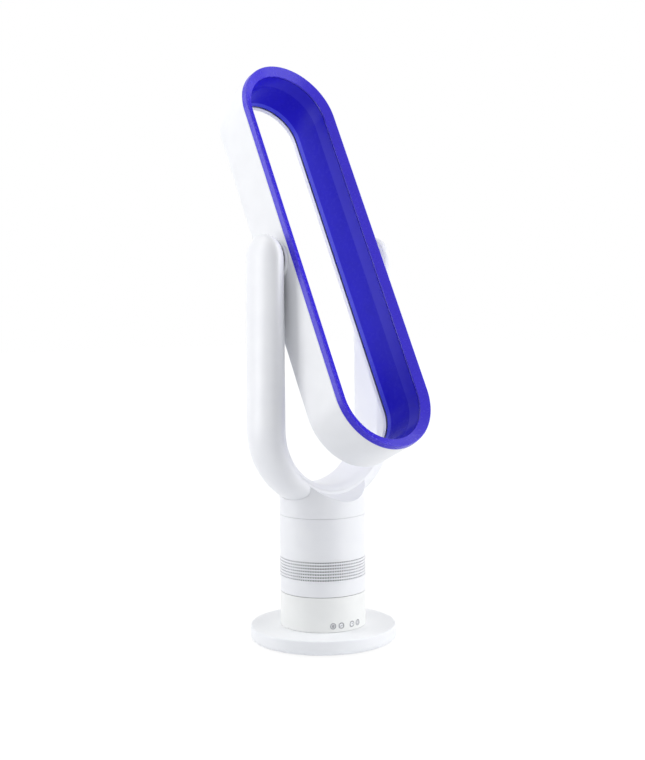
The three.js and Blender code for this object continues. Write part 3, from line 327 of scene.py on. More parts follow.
def uneven_surface(name, tint, dullness, bumps, looks, grit=NOISE_DETAIL):
    """A material whose colour and roughness drift between two values, with small bumps. The tint
    is (pitch, dark, light), the dullness (pitch, low, high) and each bump (pitch, depth,
    strength), with lengths in metres. Grit is the detail of the noise that makes dullness and
    bumps."""
    material, tree, place = new_material(name)
    details = {tint[0]: NOISE_DETAIL, dullness[0]: grit}
    details.update({bump[0]: grit for bump in bumps})
    noise = {
        pitch: add_node(tree, "ShaderNodeTexNoise", {
            "Vector": place, "Scale": 1 / pitch, "Detail": detail, "Roughness": NOISE_ROUGHNESS,
        }).outputs["Fac"]
        for pitch, detail in details.items()
    }
    colour = add_node(tree, "ShaderNodeValToRGB", {"Fac": noise[tint[0]]})
    stops = colour.color_ramp.elements
    for stop, position, code in zip(stops, (NOISE_LOW, NOISE_HIGH), tint[1:]):
        stop.position = position
        stop.color = linear(code)
    roughness = add_node(tree, "ShaderNodeMapRange", {
        "Value": noise[dullness[0]], "From Min": NOISE_LOW, "From Max": NOISE_HIGH,
        "To Min": dullness[1], "To Max": dullness[2],
    })
    looks = looks | {
        "Base Color": colour.outputs["Color"], "Roughness": roughness.outputs["Result"],
    }
    for pitch, depth, strength in bumps:
        relief = {"Height": noise[pitch], "Distance": depth, "Strength": strength}
        if "Normal" in looks:
            relief["Normal"] = looks["Normal"]
        looks["Normal"] = add_node(tree, "ShaderNodeBump", relief).outputs["Normal"]
    shader = add_node(tree, "ShaderNodeBsdfPrincipled", looks)
    add_node(tree, "ShaderNodeOutputMaterial", {"Surface": shader.outputs["BSDF"]})
    return material


# Moulded rubber is dull, a little clouded, and softly grained.
rubber = uneven_surface(
    "rubber_moulded", tint=(RUBBER_CLOUD, "1B1B1C", "262627"),
    dullness=(RUBBER_CLOUD, 0.72, 0.86), bumps=[(RUBBER_GRAIN, 0.03 * MM, 0.6)], looks={"IOR": 1.52})
for i in range(FOOT_COUNT):
    node = f"foot_{i + 1}"
    low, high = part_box(node)
    middle = ((low[0] + high[0]) / 2, (low[1] + high[1]) / 2)
    radius = (high[0] - low[0]) / 2
    outline = rounded([
        (0, low[2] + FOOT_DISH, 0), (radius * DISH_RADIUS, low[2] + FOOT_DISH, FINE_ROUND),
        (radius * DISH_BRIM, low[2], FINE_ROUND), (radius, low[2], FOOT_EDGE),
        (radius, high[2], FINE_ROUND), (0, high[2], 0),
    ])
    pad = piece_from(f"rubber_pad_{i + 1}", lathe(outline, middle, SMALL_FACETS), rubber)
    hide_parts(node)
    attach(pad, "base")


# ------------------------------------------------------------------ bottom plate
# A flat disc that closes the base from below, injection moulded in black polypropylene. It has
# a dull, lightly sparked surface, and its screws sit flush in it.

PLATE_EDGE = 0.4 * MM
SPARK_PITCH = 0.8 * MM  # the real pits are about 0.1 mm apart, and are drawn coarser
PLASTIC_CLOUD = 14 * MM
SCREW_COUNT = 4
SCREW_CIRCLE = 62 * MM
SCREW_CLEARANCE = 2.4 * MM
HOLE_FACETS = 32


def cut(piece, *tools):
    """Cuts tools out of a piece, and removes them."""
    for tool in tools:
        cutter = piece.modifiers.new("cut", "BOOLEAN")
        cutter.operation = "DIFFERENCE"
        cutter.solver = "EXACT"
        cutter.object = tool
    bake(piece)
    for tool in tools:
        bpy.data.objects.remove(tool)
    settle(piece)


def round_places(count, radius, start):
    """The places of equal things round the column's axis."""
    angles = [start + 2 * math.pi * i / count for i in range(count)]
    return [(radius * math.cos(a), AXIS_Y + radius * math.sin(a)) for a in angles]


def rod(radius, start, end, centre, segments):
    """A bmesh of a plain upright rod between two heights."""
    return lathe([(0, start), (radius, start), (radius, end), (0, end)], centre, segments)


# Moulded polypropylene is nearly black, and dull where its mould was spark eroded.
polypropylene = uneven_surface(
    "polypropylene_moulded", tint=(PLASTIC_CLOUD, "222428", "2C2E33"),
    dullness=(SPARK_PITCH, 0.48, 0.62), bumps=[(SPARK_PITCH, 0.03 * MM, 0.5)], looks={"IOR": 1.49})
centre = (0, AXIS_Y)
low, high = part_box("base_bottom_plate")
plate_radius = (high[0] - low[0]) / 2
plate = piece_from("bottom_plate_moulding", lathe(rounded([
    (0, low[2], 0), (plate_radius, low[2], PLATE_EDGE), (plate_radius, high[2], PLATE_EDGE),
    (0, high[2], 0),
]), centre), polypropylene)
screw_places = round_places(SCREW_COUNT, SCREW_CIRCLE, math.pi / 4)
cut(plate, *[
    piece_from("hole", rod(SCREW_CLEARANCE, low[2] - MM, high[2] + MM, place, HOLE_FACETS),
               polypropylene)
    for place in screw_places
])
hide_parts("base_bottom_plate")
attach(plate, "base")


# ------------------------------------------------------------------ base screws
# Four pan-head screws, cold headed from steel wire and zinc plated, with a cross recess. The
# plating is bright, a little blue, and faintly uneven.

HEAD_HEIGHT = 1.8 * MM
HEAD_RADIUS = 3.6 * MM
HEAD_ROUND = 1.2 * MM
BEARING_ROUND = 0.1 * MM
SHANK_RADIUS = 1.7 * MM
RECESS = (0.9 * MM, 3.6 * MM, 2 * 1.1 * MM)  # half of its height lies in the head
RECESS_TURN = 0.4
SCREW_FACETS = 40
ZINC_CLOUD = 5 * MM
ZINC_GRAIN = 0.6 * MM


def moved(mesh, matrix):
    """A bmesh, after it is moved or turned as a whole."""
    bmesh.ops.transform(mesh, verts=mesh.verts, matrix=matrix)
    return mesh


def block(size, matrix):
    """A bmesh of a square block, sized and then placed."""
    mesh = bmesh.new()
    bmesh.ops.create_cube(mesh, size=1)
    bmesh.ops.scale(mesh, verts=mesh.verts, vec=size)
    return moved(mesh, matrix)


# Zinc plated steel is bright, and clouded by its bath. Its crystals are drawn coarser.
steel = uneven_surface(
    "steel_zinc_plated", tint=(ZINC_CLOUD, "A9ADB3", "BCC0C6"),
    dullness=(ZINC_CLOUD, 0.26, 0.38), bumps=[(ZINC_GRAIN, 0.01 * MM, 0.4)], looks={"Metallic": 1.0})
for i, place in enumerate(screw_places):
    low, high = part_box(f"base_screw_{i + 1}")
    under_head = low[2] + HEAD_HEIGHT
    screw = piece_from(f"pan_head_screw_{i + 1}", lathe(rounded([
        (0, low[2], 0), (HEAD_RADIUS, low[2], HEAD_ROUND),
        (HEAD_RADIUS, under_head, BEARING_ROUND), (SHANK_RADIUS, under_head, 0),
        (SHANK_RADIUS, high[2] - MM, 0), (0, high[2], 0),
    ]), place, SCREW_FACETS), steel)
    at_head = Matrix.Translation((*place, low[2]))
    cut(screw, *[
        piece_from("recess", block(RECESS, at_head @ Matrix.Rotation(turn, 4, "Z")), steel)
        for turn in (RECESS_TURN, RECESS_TURN + math.pi / 2)
    ])
    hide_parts(f"base_screw_{i + 1}")
    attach(screw, "base")


# ------------------------------------------------------------------ base weight
# A ring of grey cast iron inside the base, as it comes from the sand, so that so tall a fan
# stands firmly. It is dark and rough, and nothing shows it when the fan is together.

SAND_GRAIN = 1.2 * MM
IRON_STAIN = 22 * MM
SAND_DETAIL = 4.0


def paint(node, material):
    """Gives a node that stays as it is its material."""
    data = frame["nodes"][node].data
    data.materials.clear()
    data.materials.append(material)


# Sand cast iron is dark, with the grain of the sand and wide stains.
iron = uneven_surface(
    "iron_sand_cast", tint=(IRON_STAIN, "3C3D40", "4D4E52"),
    dullness=(SAND_GRAIN, 0.55, 0.78), bumps=[(SAND_GRAIN, 0.25 * MM, 0.7)],
    looks={"Metallic": 0.85}, grit=SAND_DETAIL)
paint("base_weight", iron)


# ------------------------------------------------------------------ base cover
# The wide disc that the fan stands on, moulded in white ABS and left glossy. Its edge rolls over
# in one soft curve and draws in below. ABS is clean, with a faint moulded ripple, and here its
# white is painted the coolest and palest of the whites, as painted light.

COVER_WALL = 2.5 * MM
EDGE_INSET = 0.8 * MM
EDGE_ROUND = 2.7 * MM
WIDEST_DROP = 15 * MM
COVER_UNDER = 8 * MM
COVER_HOLE = 20 * MM
TOP_THICKENING = 0.5 * MM
BOSS_RADIUS = 4.8 * MM
WIDE_FACETS = 192
TINT_DRIFT = 45 * MM
RIPPLE_PITCH = 7 * MM
RIPPLE_DEPTH = 0.012 * MM
RIPPLE_STRENGTH = 0.3
SKIN_GRAIN = 0.9 * MM  # finer than 0.1 mm in truth, and drawn coarser so that it shows
SKIN_DEPTH = 0.004 * MM
SKIN_STRENGTH = 0.15
GLOSSIER = 0.02  # how far the roughness strays to either side
DULLER = 0.03
CURVE_STEPS = 14


def moulded_abs(name, dark, light, roughness, specular):
    """Glossy moulded ABS: an even colour, a shade uneven, with a ripple and a finer skin, which
    keep its reflections soft and a little alive."""
    return uneven_surface(
        name, tint=(TINT_DRIFT, dark, light),
        dullness=(RIPPLE_PITCH, roughness - GLOSSIER, roughness + DULLER),
        bumps=[(RIPPLE_PITCH, RIPPLE_DEPTH, RIPPLE_STRENGTH),
               (SKIN_GRAIN, SKIN_DEPTH, SKIN_STRENGTH)],
        looks={"IOR": 1.5, "Specular IOR Level": specular})


def join(mesh, part):
    """Adds a second bmesh to a bmesh, and frees it."""
    holder = bpy.data.meshes.new("part")
    part.to_mesh(holder)
    part.free()
    mesh.from_mesh(holder)
    bpy.data.meshes.remove(holder)


def quarter(centre_r, centre_z, reach, drop):
    """A quarter ellipse from above a centre to beside it."""
    turns = [math.pi / 2 * k / CURVE_STEPS for k in range(CURVE_STEPS + 1)]
    return [(centre_r + reach * math.sin(t), centre_z + drop * math.cos(t)) for t in turns]


def bow(start, control, end, steps=12):
    """A curve between two (radius, height) points, drawn towards a third."""
    shares = [k / steps for k in range(1, steps + 1)]
    return [tuple((1 - t) ** 2 * a + 2 * t * (1 - t) * b + t * t * c
                  for a, b, c in zip(start, control, end)) for t in shares]


# White moulded ABS is bright, with broad, soft reflections.
white_abs = moulded_abs("abs_white_glossy", "F3F4F7", "F7F8FA", roughness=0.3, specular=0.5)
low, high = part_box("base_cover")
cover_radius = (high[0] - low[0]) / 2
edge_radius = cover_radius - EDGE_INSET
widest_z = high[2] - WIDEST_DROP
under_radius = cover_radius - COVER_UNDER
inside_z = high[2] - COVER_WALL - TOP_THICKENING
inner_radius, inner_z = cover_radius - COVER_WALL, low[2] + COVER_WALL
cover_outline = [(COVER_HOLE, high[2])]
cover_outline += quarter(edge_radius - EDGE_ROUND, high[2] - EDGE_ROUND, EDGE_ROUND, EDGE_ROUND)
cover_outline += [(cover_radius, widest_z)]
cover_outline += bow((cover_radius, widest_z), (cover_radius, low[2]), (under_radius, low[2]))
cover_outline += [
    (under_radius - COVER_WALL, low[2]), (under_radius - COVER_WALL, inner_z),
    (under_radius, inner_z),
]
cover_outline += bow((under_radius, inner_z), (inner_radius, inner_z), (inner_radius, widest_z))
cover_outline += [(edge_radius - COVER_WALL, inside_z), (COVER_HOLE, inside_z)]
cover_mesh = lathe(cover_outline, centre, WIDE_FACETS)
boss_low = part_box("base_weight")[0][2]
for place in screw_places:
    join(cover_mesh, lathe([
        (SCREW_CLEARANCE, boss_low), (BOSS_RADIUS, boss_low),
        (BOSS_RADIUS, inside_z + MM), (SCREW_CLEARANCE, inside_z + MM),
    ], place, HOLE_FACETS))
# The disc's white is painted a shade paler and cooler than the other white mouldings, as painted
# light.
lit_cover_abs = moulded_abs("abs_white_cover_painted_light", "F8FAFC", "FBFCFE", roughness=0.3, specular=0.5)
cover = piece_from("base_cover_moulding", cover_mesh, lit_cover_abs)
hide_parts("base_cover")
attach(cover, "base")


# ------------------------------------------------------------------ control housing
# The fixed foot of the column, a round glossy ABS moulding that is open at the top, of a slightly
# warmer white than the rest. It is bored for the four buttons in front and for the inlet behind,
# and is screwed to the base from inside.

WALL = 2.5 * MM
SEAM_ROUND = 0.5 * MM
CRISP_ROUND = 0.2 * MM
FLOOR_THICKNESS = 3 * MM
LEDGE_WIDTH = 4 * MM
LEDGE_DROP = 12.8 * MM
BUTTON_RADIUS = 5 * MM
BUTTON_HEIGHT = 10.2 * MM
BUTTON_GAP = 0.3 * MM
INLET_RADIUS = 5.5 * MM
INLET_HEIGHT = 15 * MM
INLET_ANGLE = 180
BORE_REACH = 5 * MM
BORE_FACETS = 48
BUTTONS = {"mode": -26, "swing": -14.5, "timer": 2, "power": 13}  # degrees right of the front


def outward(mesh, angle, height):
    """Turns a bmesh built along +Z to point outwards from the column, seen upright from there."""
    turn = math.radians(angle)
    beside = (math.cos(turn), math.sin(turn), 0)
    out = (math.sin(turn), -math.cos(turn), 0)
    facing = Matrix((beside, (0, 0, 1), out)).transposed().to_4x4()
    return moved(mesh, Matrix.Translation((0, AXIS_Y, height)) @ facing)


low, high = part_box("control_housing")
column = (high[0] - low[0]) / 2
inner = column - WALL
ledge = high[2] - LEDGE_DROP
floor_top = low[2] + FLOOR_THICKNESS
# The housing shows a shade warmer than the other white mouldings.
neutral_abs = moulded_abs("abs_white_neutral", "F5F6F4", "F9FAF8", roughness=0.3, specular=0.5)
housing = piece_from("control_housing_moulding", lathe(rounded([
    (COVER_HOLE, low[2], 0), (column, low[2], SEAM_ROUND), (column, high[2], SEAM_ROUND),
    (inner, high[2], CRISP_ROUND), (inner, ledge, 0), (inner - LEDGE_WIDTH, ledge, 0),
    (inner - LEDGE_WIDTH, ledge - FLOOR_THICKNESS, 0),
    (inner, ledge - FLOOR_THICKNESS - LEDGE_WIDTH, 0), (inner, floor_top, 0),
    (COVER_HOLE, floor_top, 0),
]), centre, WIDE_FACETS), neutral_abs)
button_z = low[2] + BUTTON_HEIGHT
inlet_z = low[2] + INLET_HEIGHT


def bore(radius, angle, height):
    """A round tool that passes through the housing's wall at an angle from the front."""
    tool = rod(radius, inner - BORE_REACH, column + BORE_REACH, (0, 0), BORE_FACETS)
    return piece_from("bore", outward(tool, angle, height), white_abs)


bores = [bore(BUTTON_RADIUS + BUTTON_GAP, angle, button_z) for angle in BUTTONS.values()]
bores.append(bore(INLET_RADIUS + BUTTON_GAP, INLET_ANGLE, inlet_z))
cut(housing, *bores)
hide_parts("control_housing")
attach(housing, "base")


# ------------------------------------------------------------------ buttons
# Four round push buttons of white ABS, each with a flange behind the wall and a stem that presses
# a switch. Their signs are pad printed in a flat grey ink.

BUTTON_PROUD = 0.3 * MM
BUTTON_EDGE = 0.4 * MM
FLANGE_RADIUS = 5.9 * MM
FLANGE_THICKNESS = 1.2 * MM
STEM_RADIUS = 2.2 * MM
STEM_LENGTH = 2 * MM
INK_THICKNESS = 0.03 * MM
RING_RADIUS = 4.1 * MM
RING_STROKE = 0.85 * MM
SIGN_STROKE = 0.6 * MM
SPOKE_COUNT = 6
WAVE_REACH = 2.7 * MM
WAVE_HEIGHT = 0.9 * MM
WAVE_STEPS = 54
ARC_LINES = 32
RING_LINES = 64
INK_GRAIN = 0.35 * MM  # the dots of the print are finer, and are drawn coarser so that they show


def arc(radius, first, last, steps=ARC_LINES):
    """Points on an arc between two angles in degrees, counted from the right."""
    turns = [math.radians(first + (last - first) * k / steps) for k in range(steps + 1)]
    return [(radius * math.cos(t), radius * math.sin(t)) for t in turns]


def ribbon(mesh, line, width, low, high):
    """Adds a flat printed line that follows points on the button's face."""
    sides = []
    for i, (x, y) in enumerate(line):
        before = Vector(line[max(i - 1, 0)])
        after = Vector(line[min(i + 1, len(line) - 1)])
        along = (after - before).normalized()
        across = Vector((-along.y, along.x)) * width / 2
        sides.append([
            mesh.verts.new((x + across.x * s, y + across.y * s, z))
            for s, z in ((1, low), (1, high), (-1, high), (-1, low))
        ])
    for here, following in zip(sides, sides[1:]):
        for k in range(4):
            mesh.faces.new((here[k], here[(k + 1) % 4], following[(k + 1) % 4], following[k]))
    mesh.faces.new(sides[0])
    mesh.faces.new(reversed(sides[-1]))


def spokes(inner_end, outer_end):
    """The spokes of a small wheel, between two radii."""
    ends = [math.pi * (2 * k + 1) / SPOKE_COUNT for k in range(SPOKE_COUNT)]
    return [[(inner_end * math.cos(a), inner_end * math.sin(a)),
             (outer_end * math.cos(a), outer_end * math.sin(a))] for a in ends]


def wave():
    """One full wave, from left to right."""
    shares = [2 * k / WAVE_STEPS - 1 for k in range(WAVE_STEPS + 1)]
    return [(WAVE_REACH * x, WAVE_HEIGHT * math.sin(math.pi * x)) for x in shares]


SIGNS = {
    "mode": spokes(0.5 * MM, 2.7 * MM) + [arc(1.5 * MM, 0, 360)],
    "swing": [wave()],
    "timer": [[(0, 2.0 * MM), (0, -0.3 * MM)], [(-0.2 * MM, 0), (1.8 * MM, 0)]],
    "power": [arc(2.1 * MM, 125, 415), [(0, 0.9 * MM), (0, 2.9 * MM)]],
}

flange_face = math.sqrt(inner ** 2 - FLANGE_RADIUS ** 2) - BUTTON_GAP
flange_back = flange_face - FLANGE_THICKNESS
stem_end = flange_back - STEM_LENGTH
face = column + BUTTON_PROUD
# Pad printed ink is flat and dark, and very faintly speckled.
ink = uneven_surface(
    "ink_pad_printed", tint=(INK_GRAIN, "303337", "3A3D42"),
    dullness=(INK_GRAIN, 0.5, 0.6), bumps=[], looks={"IOR": 1.5})
for name, angle in BUTTONS.items():
    key = piece_from(f"{name}_button_moulding", outward(lathe(rounded([
        (0, stem_end, 0), (STEM_RADIUS, stem_end, CRISP_ROUND), (STEM_RADIUS, flange_back, 0),
        (FLANGE_RADIUS, flange_back, CRISP_ROUND), (FLANGE_RADIUS, flange_face, CRISP_ROUND),
        (BUTTON_RADIUS, flange_face, 0), (BUTTON_RADIUS, face, BUTTON_EDGE), (0, face, 0),
    ]), (0, 0), SMALL_FACETS), angle, button_z), white_abs)
    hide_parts(f"{name}_button")
    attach(key, f"{name}_key")

    sign_mesh = bmesh.new()
    lines = [(arc(RING_RADIUS, 0, 360, RING_LINES), RING_STROKE)]
    lines += [(line, SIGN_STROKE) for line in SIGNS[name]]
    for line, stroke in lines:
        ribbon(sign_mesh, line, stroke, face - INK_THICKNESS, face + INK_THICKNESS)
    bmesh.ops.recalc_face_normals(sign_mesh, faces=sign_mesh.faces)
    sign = piece_from(f"{name}_button_sign", outward(sign_mesh, angle, button_z), ink)
    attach(sign, f"{name}_key")


# ------------------------------------------------------------------ control board
# The curved strip of circuit board behind the buttons, glass fibre laminate under a green
# lacquer, with four switches. It shows the weave of its glass a little, and nothing else does.

WEAVE_PITCH = 3 * MM  # the real threads lie 0.5 mm apart, and are drawn coarser to show
WEAVE_GAP = 0.06
LACQUER_GRAIN = 0.5 * MM

# Lacquered laminate is green and fairly glossy, with the weave as darker lines below the gloss.
laminate, tree, place = new_material("glass_fibre_laminate")
weave = add_node(tree, "ShaderNodeTexBrick", {
    "Vector": place, "Color1": linear("1F5B39"), "Color2": linear("236440"),
    "Mortar": linear("174A2D"), "Scale": 1 / WEAVE_PITCH, "Mortar Size": WEAVE_GAP,
})
fine = add_node(tree, "ShaderNodeTexNoise", {
    "Vector": place, "Scale": 1 / LACQUER_GRAIN, "Detail": NOISE_DETAIL,
    "Roughness": NOISE_ROUGHNESS,
})
dullness = add_node(tree, "ShaderNodeMapRange", {
    "Value": fine.outputs["Fac"], "From Min": NOISE_LOW, "From Max": NOISE_HIGH,
    "To Min": 0.32, "To Max": 0.44,
})
shader = add_node(tree, "ShaderNodeBsdfPrincipled", {
    "Base Color": weave.outputs["Color"], "Roughness": dullness.outputs["Result"], "IOR": 1.55,
})
add_node(tree, "ShaderNodeOutputMaterial", {"Surface": shader.outputs["BSDF"]})
paint("control_board", laminate)


# ------------------------------------------------------------------ power inlet
# The round low-voltage jack low on the back, moulded in the same black plastic as the bottom plate,
# with a plated centre pin. Its flange bears on the wall from inside.

INLET_FLANGE = 7.5 * MM
INLET_BODY = 13 * MM
INLET_DEPTH = 9 * MM
INLET_BORE = 2.9 * MM
INLET_EDGE = 0.4 * MM
INLET_LIP = 0.5 * MM
INLET_PIN = 0.9 * MM
PIN_DROP = 1.5 * MM
PIN_TIP = 0.5 * MM

jack_face = math.sqrt(column ** 2 - INLET_RADIUS ** 2)
jack_back = jack_face - INLET_BODY
shoulder = math.sqrt(inner ** 2 - INLET_FLANGE ** 2) - BUTTON_GAP
jack = piece_from("inlet_body", outward(lathe(rounded([
    (0, jack_back, 0), (INLET_FLANGE, jack_back, INLET_EDGE), (INLET_FLANGE, shoulder, FINE_ROUND),
    (INLET_RADIUS, shoulder, 0), (INLET_RADIUS, jack_face, INLET_LIP),
    (INLET_BORE, jack_face, INLET_EDGE), (INLET_BORE, jack_face - INLET_DEPTH, 0),
    (0, jack_face - INLET_DEPTH, 0),
]), (0, 0), SMALL_FACETS), INLET_ANGLE, inlet_z), polypropylene)
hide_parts("power_inlet")
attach(jack, "base")
pin = piece_from("inlet_pin", outward(lathe(rounded([
    (0, jack_face - INLET_DEPTH - MM, 0), (INLET_PIN, jack_face - INLET_DEPTH - MM, 0),
    (INLET_PIN, jack_face - PIN_DROP, PIN_TIP), (0, jack_face - PIN_DROP, 0),
]), (0, 0), HOLE_FACETS), INLET_ANGLE, inlet_z), steel)
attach(pin, "base")


# ------------------------------------------------------------------ swing drive
# Inside the foot of the column: the fixed plate with its hollow axle, the geared motor, and the
# acetal wheels and slide ring that the upper part turns on. Acetal is milky, waxy and smooth.

ACETAL_CLOUD = 12 * MM
ACETAL_GRAIN = 0.7 * MM  # drawn coarser than the real skin, so that it shows

# Moulded acetal is milky, with a soft, waxy sheen.
acetal = uneven_surface(
    "acetal_moulded", tint=(ACETAL_CLOUD, "E3DFD2", "ECE9DF"),
    dullness=(ACETAL_CLOUD, 0.34, 0.44), bumps=[(ACETAL_GRAIN, 0.01 * MM, 0.4)], looks={"IOR": 1.48})
paint("swing_plate", polypropylene)
paint("turntable", polypropylene)
paint("swing_motor", steel)
paint("swivel_retainer", steel)
for node in ("slide_ring", "swing_pinion", "swing_gear"):
    paint(node, acetal)


# ------------------------------------------------------------------ motor housing
# The tall middle moulding of the column, white ABS, which turns with everything above it. Seven
# rows of small round intake holes run all the way round it, straight through the wall, and its
# inside faces are painted in black plastic as painted shade, so that the holes look dark.

ROWS = 7
COLUMNS = 108
HOLE_RADIUS = 1.42 * MM
BAND_WALL = 2 * MM
BAND_STEP = 2 * MM
ROW_PITCH = 4.75 * MM
FIRST_ROW = 27.1 * MM
HOLE_SIDES = 16
SHELF_HEIGHT = 67 * MM
SHELF_WIDTH = 8 * MM
SEAM_WELD = 0.01 * MM
# The dark lining is painted shade: faces that look inwards beyond this cosine take the black
# plastic.
SHADED_INSIDE_COSINE = -0.5  # below this cosine with the way out, a face belongs to the dark lining


def square_point(turn):
    """Where a ray at an angle from the middle of a square of half side 1 meets its edge."""
    x, y = math.cos(turn), math.sin(turn)
    reach = 1 / max(abs(x), abs(y))
    return x * reach, y * reach


def perforated_band(radius_out, radius_in, first_row):
    """A round wall with a round hole in the middle of each cell of a grid, as a bmesh."""
    mesh = bmesh.new()
    cell = 2 * math.pi / COLUMNS
    turns = [2 * math.pi * k / HOLE_SIDES for k in range(HOLE_SIDES)]
    for row in range(ROWS):
        z = first_row + row * ROW_PITCH
        for column_index in range(COLUMNS):
            middle = (column_index + 0.5) * cell
            loops = []
            for radius in (radius_out, radius_in):
                edge = [(middle + square_point(t)[0] * cell / 2,
                         z + square_point(t)[1] * ROW_PITCH / 2) for t in turns]
                hole = [(middle + math.cos(t) * HOLE_RADIUS / radius_out,
                         z + math.sin(t) * HOLE_RADIUS) for t in turns]
                loops.append([
                    [mesh.verts.new((radius * math.cos(a), AXIS_Y + radius * math.sin(a), h))
                     for a, h in line] for line in (edge, hole)
                ])
            (edge_out, hole_out), (edge_in, hole_in) = loops
            for k in range(HOLE_SIDES):
                m = (k + 1) % HOLE_SIDES
                mesh.faces.new((edge_out[k], edge_out[m], hole_out[m], hole_out[k]))
                mesh.faces.new((hole_out[k], hole_out[m], hole_in[m], hole_in[k]))
                mesh.faces.new((hole_in[k], hole_in[m], edge_in[m], edge_in[k]))
    return mesh


low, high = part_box("motor_housing")
band_low = low[2] + FIRST_ROW - ROW_PITCH / 2
band_high = band_low + ROWS * ROW_PITCH
shelf = low[2] + SHELF_HEIGHT
band_inner = column - BAND_WALL
band = perforated_band(column, band_inner, low[2] + FIRST_ROW)
around = COLUMNS * HOLE_SIDES // 4  # a quarter of a hole's sides meet each side of its cell
lower_part = rounded([
    (band_inner, band_low, 0), (inner, band_low - BAND_STEP, 0),
    (inner, low[2] + FLOOR_THICKNESS, 0),
    (inner - LEDGE_WIDTH, low[2] + FLOOR_THICKNESS, 0), (inner - LEDGE_WIDTH, low[2], 0),
    (column, low[2], SEAM_ROUND), (column, band_low, 0),
])
upper_part = rounded([
    (column, band_high, 0), (column, high[2], SEAM_ROUND), (inner, high[2], CRISP_ROUND),
    (inner, shelf, 0), (inner - SHELF_WIDTH, shelf, 0),
    (inner - SHELF_WIDTH, shelf - FLOOR_THICKNESS, 0),
    (inner, shelf - FLOOR_THICKNESS - SHELF_WIDTH, 0), (inner, band_high + BAND_STEP, 0),
    (band_inner, band_high, 0),
])
for part in (lower_part, upper_part):
    join(band, lathe(part, centre, around, closed=False))
bmesh.ops.remove_doubles(band, verts=band.verts, dist=SEAM_WELD)
bmesh.ops.recalc_face_normals(band, faces=band.faces)
motor_shell = piece_from("motor_housing_moulding", band, white_abs)
# Faces that look inwards take the black plastic, as painted shade inside the column.
motor_shell.data.materials.append(polypropylene)
for face in motor_shell.data.polygons:
    outwards = face.center - Vector((0, AXIS_Y, face.center.z))
    face.material_index = int(face.normal.dot(outwards.normalized()) < SHADED_INSIDE_COSINE)
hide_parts("motor_housing")
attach(motor_shell, "head")


# ------------------------------------------------------------------ blower
# The impeller and its motor hang in a bucket inside the motor housing, with the board of the
# motor's controller. The bucket and impeller are moulded in dark, dull plastic, the motor and
# shaft are steel, and the soft seats rubber.

for node in ("motor_bucket", "impeller", "motor_tail_cap"):
    paint(node, polypropylene)
for node in ("blower_motor", "motor_bearing", "motor_shaft", "impeller_cap"):
    paint(node, steel)
for node in ("bucket_gasket", "duct_seal"):
    paint(node, rubber)
paint("driver_board", laminate)


# ------------------------------------------------------------------ yoke
# The hollow arms that carry the loop and lead the air up to it: an inner cover and an outer
# shell, both white ABS, joined in one long seam along their sides. Each arm ends in a soft dome.

HALF_GAP = 96 * MM
ARM_DEPTH = 82 * MM
BOW_THICKNESS = 40 * MM
TIP_THICKNESS = 35 * MM
ARM_CORNER = 17 * MM
SEAM_FROM_FACE = 9 * MM
SEAM_GAP = 0.3 * MM
BOW_LOWEST = 258.6 * MM
SEAL_HOLE = 31.8 * MM
SEAL_HOLE_ENDS = (80 * MM, 105 * MM)
DUCT_RADIUS = 36 * MM
DUCT_ENDS = (100 * MM, BOW_LOWEST - 17 * MM)
ROD_FACETS = 96
FLAT_STEPS = 4
BOW_STEPS = 72
ARM_STEPS = 12
DOME_STEPS = 40
FACE_STEPS = 10
CROWN_STEPS = 26

tilt = next(j for j in frame["record"]["behaviour"]["joints"] if j["name"] == "loop_tilt")
pivot = Vector(tilt["pos_m"])
half_depth = ARM_DEPTH / 2
bow_centre = BOW_LOWEST + HALF_GAP


def face_half(inset):
    """Half of the inner cover's side, from the middle of its flat face round to the seam, as
    (distance out from the face, depth) points."""
    radius = ARM_CORNER - inset
    turn = math.acos((ARM_CORNER - SEAM_FROM_FACE) / radius)
    points = [(inset, (half_depth - ARM_CORNER) * k / FLAT_STEPS) for k in range(FLAT_STEPS)]
    for k in range(FACE_STEPS + 1):
        angle = turn * k / FACE_STEPS
        points.append((ARM_CORNER - radius * math.cos(angle),
                       half_depth - ARM_CORNER + radius * math.sin(angle)))
    return points


def crown_half(thickness, inset):
    """Half of the outer shell's side, from the seam over the crown to its middle."""
    radius = ARM_CORNER - inset
    turn = math.acos((ARM_CORNER - SEAM_FROM_FACE - SEAM_GAP) / radius)
    points = []
    for k in range(FACE_STEPS):
        angle = turn + (math.pi / 2 - turn) * k / FACE_STEPS
        points.append((ARM_CORNER - radius * math.cos(angle),
                       half_depth - ARM_CORNER + radius * math.sin(angle)))
    for k in range(CROWN_STEPS + 1):
        angle = math.pi / 2 * k / CROWN_STEPS
        points.append((ARM_CORNER + (thickness - inset - ARM_CORNER) * math.sin(angle),
                       (half_depth - inset) * math.cos(angle)))
    points[-1] = (points[-1][0], 0)
    return points


def arm_stations():
    """Places along the yoke: (direction out, height, thickness), from the right tip to the left."""
    stations = []
    for k in range(ARM_STEPS):
        share = k / ARM_STEPS
        stations.append(((1, 0), pivot.z + (bow_centre - pivot.z) * share,
                         TIP_THICKNESS + (BOW_THICKNESS - TIP_THICKNESS) * share))
    for k in range(BOW_STEPS + 1):
        angle = -math.pi * k / BOW_STEPS
        out = (math.cos(angle), math.sin(angle))
        stations.append((out, bow_centre + HALF_GAP * out[1], BOW_THICKNESS))
    for out, height, thickness in reversed(stations[:ARM_STEPS]):
        stations.append(((-out[0], out[1]), height, thickness))
    return stations


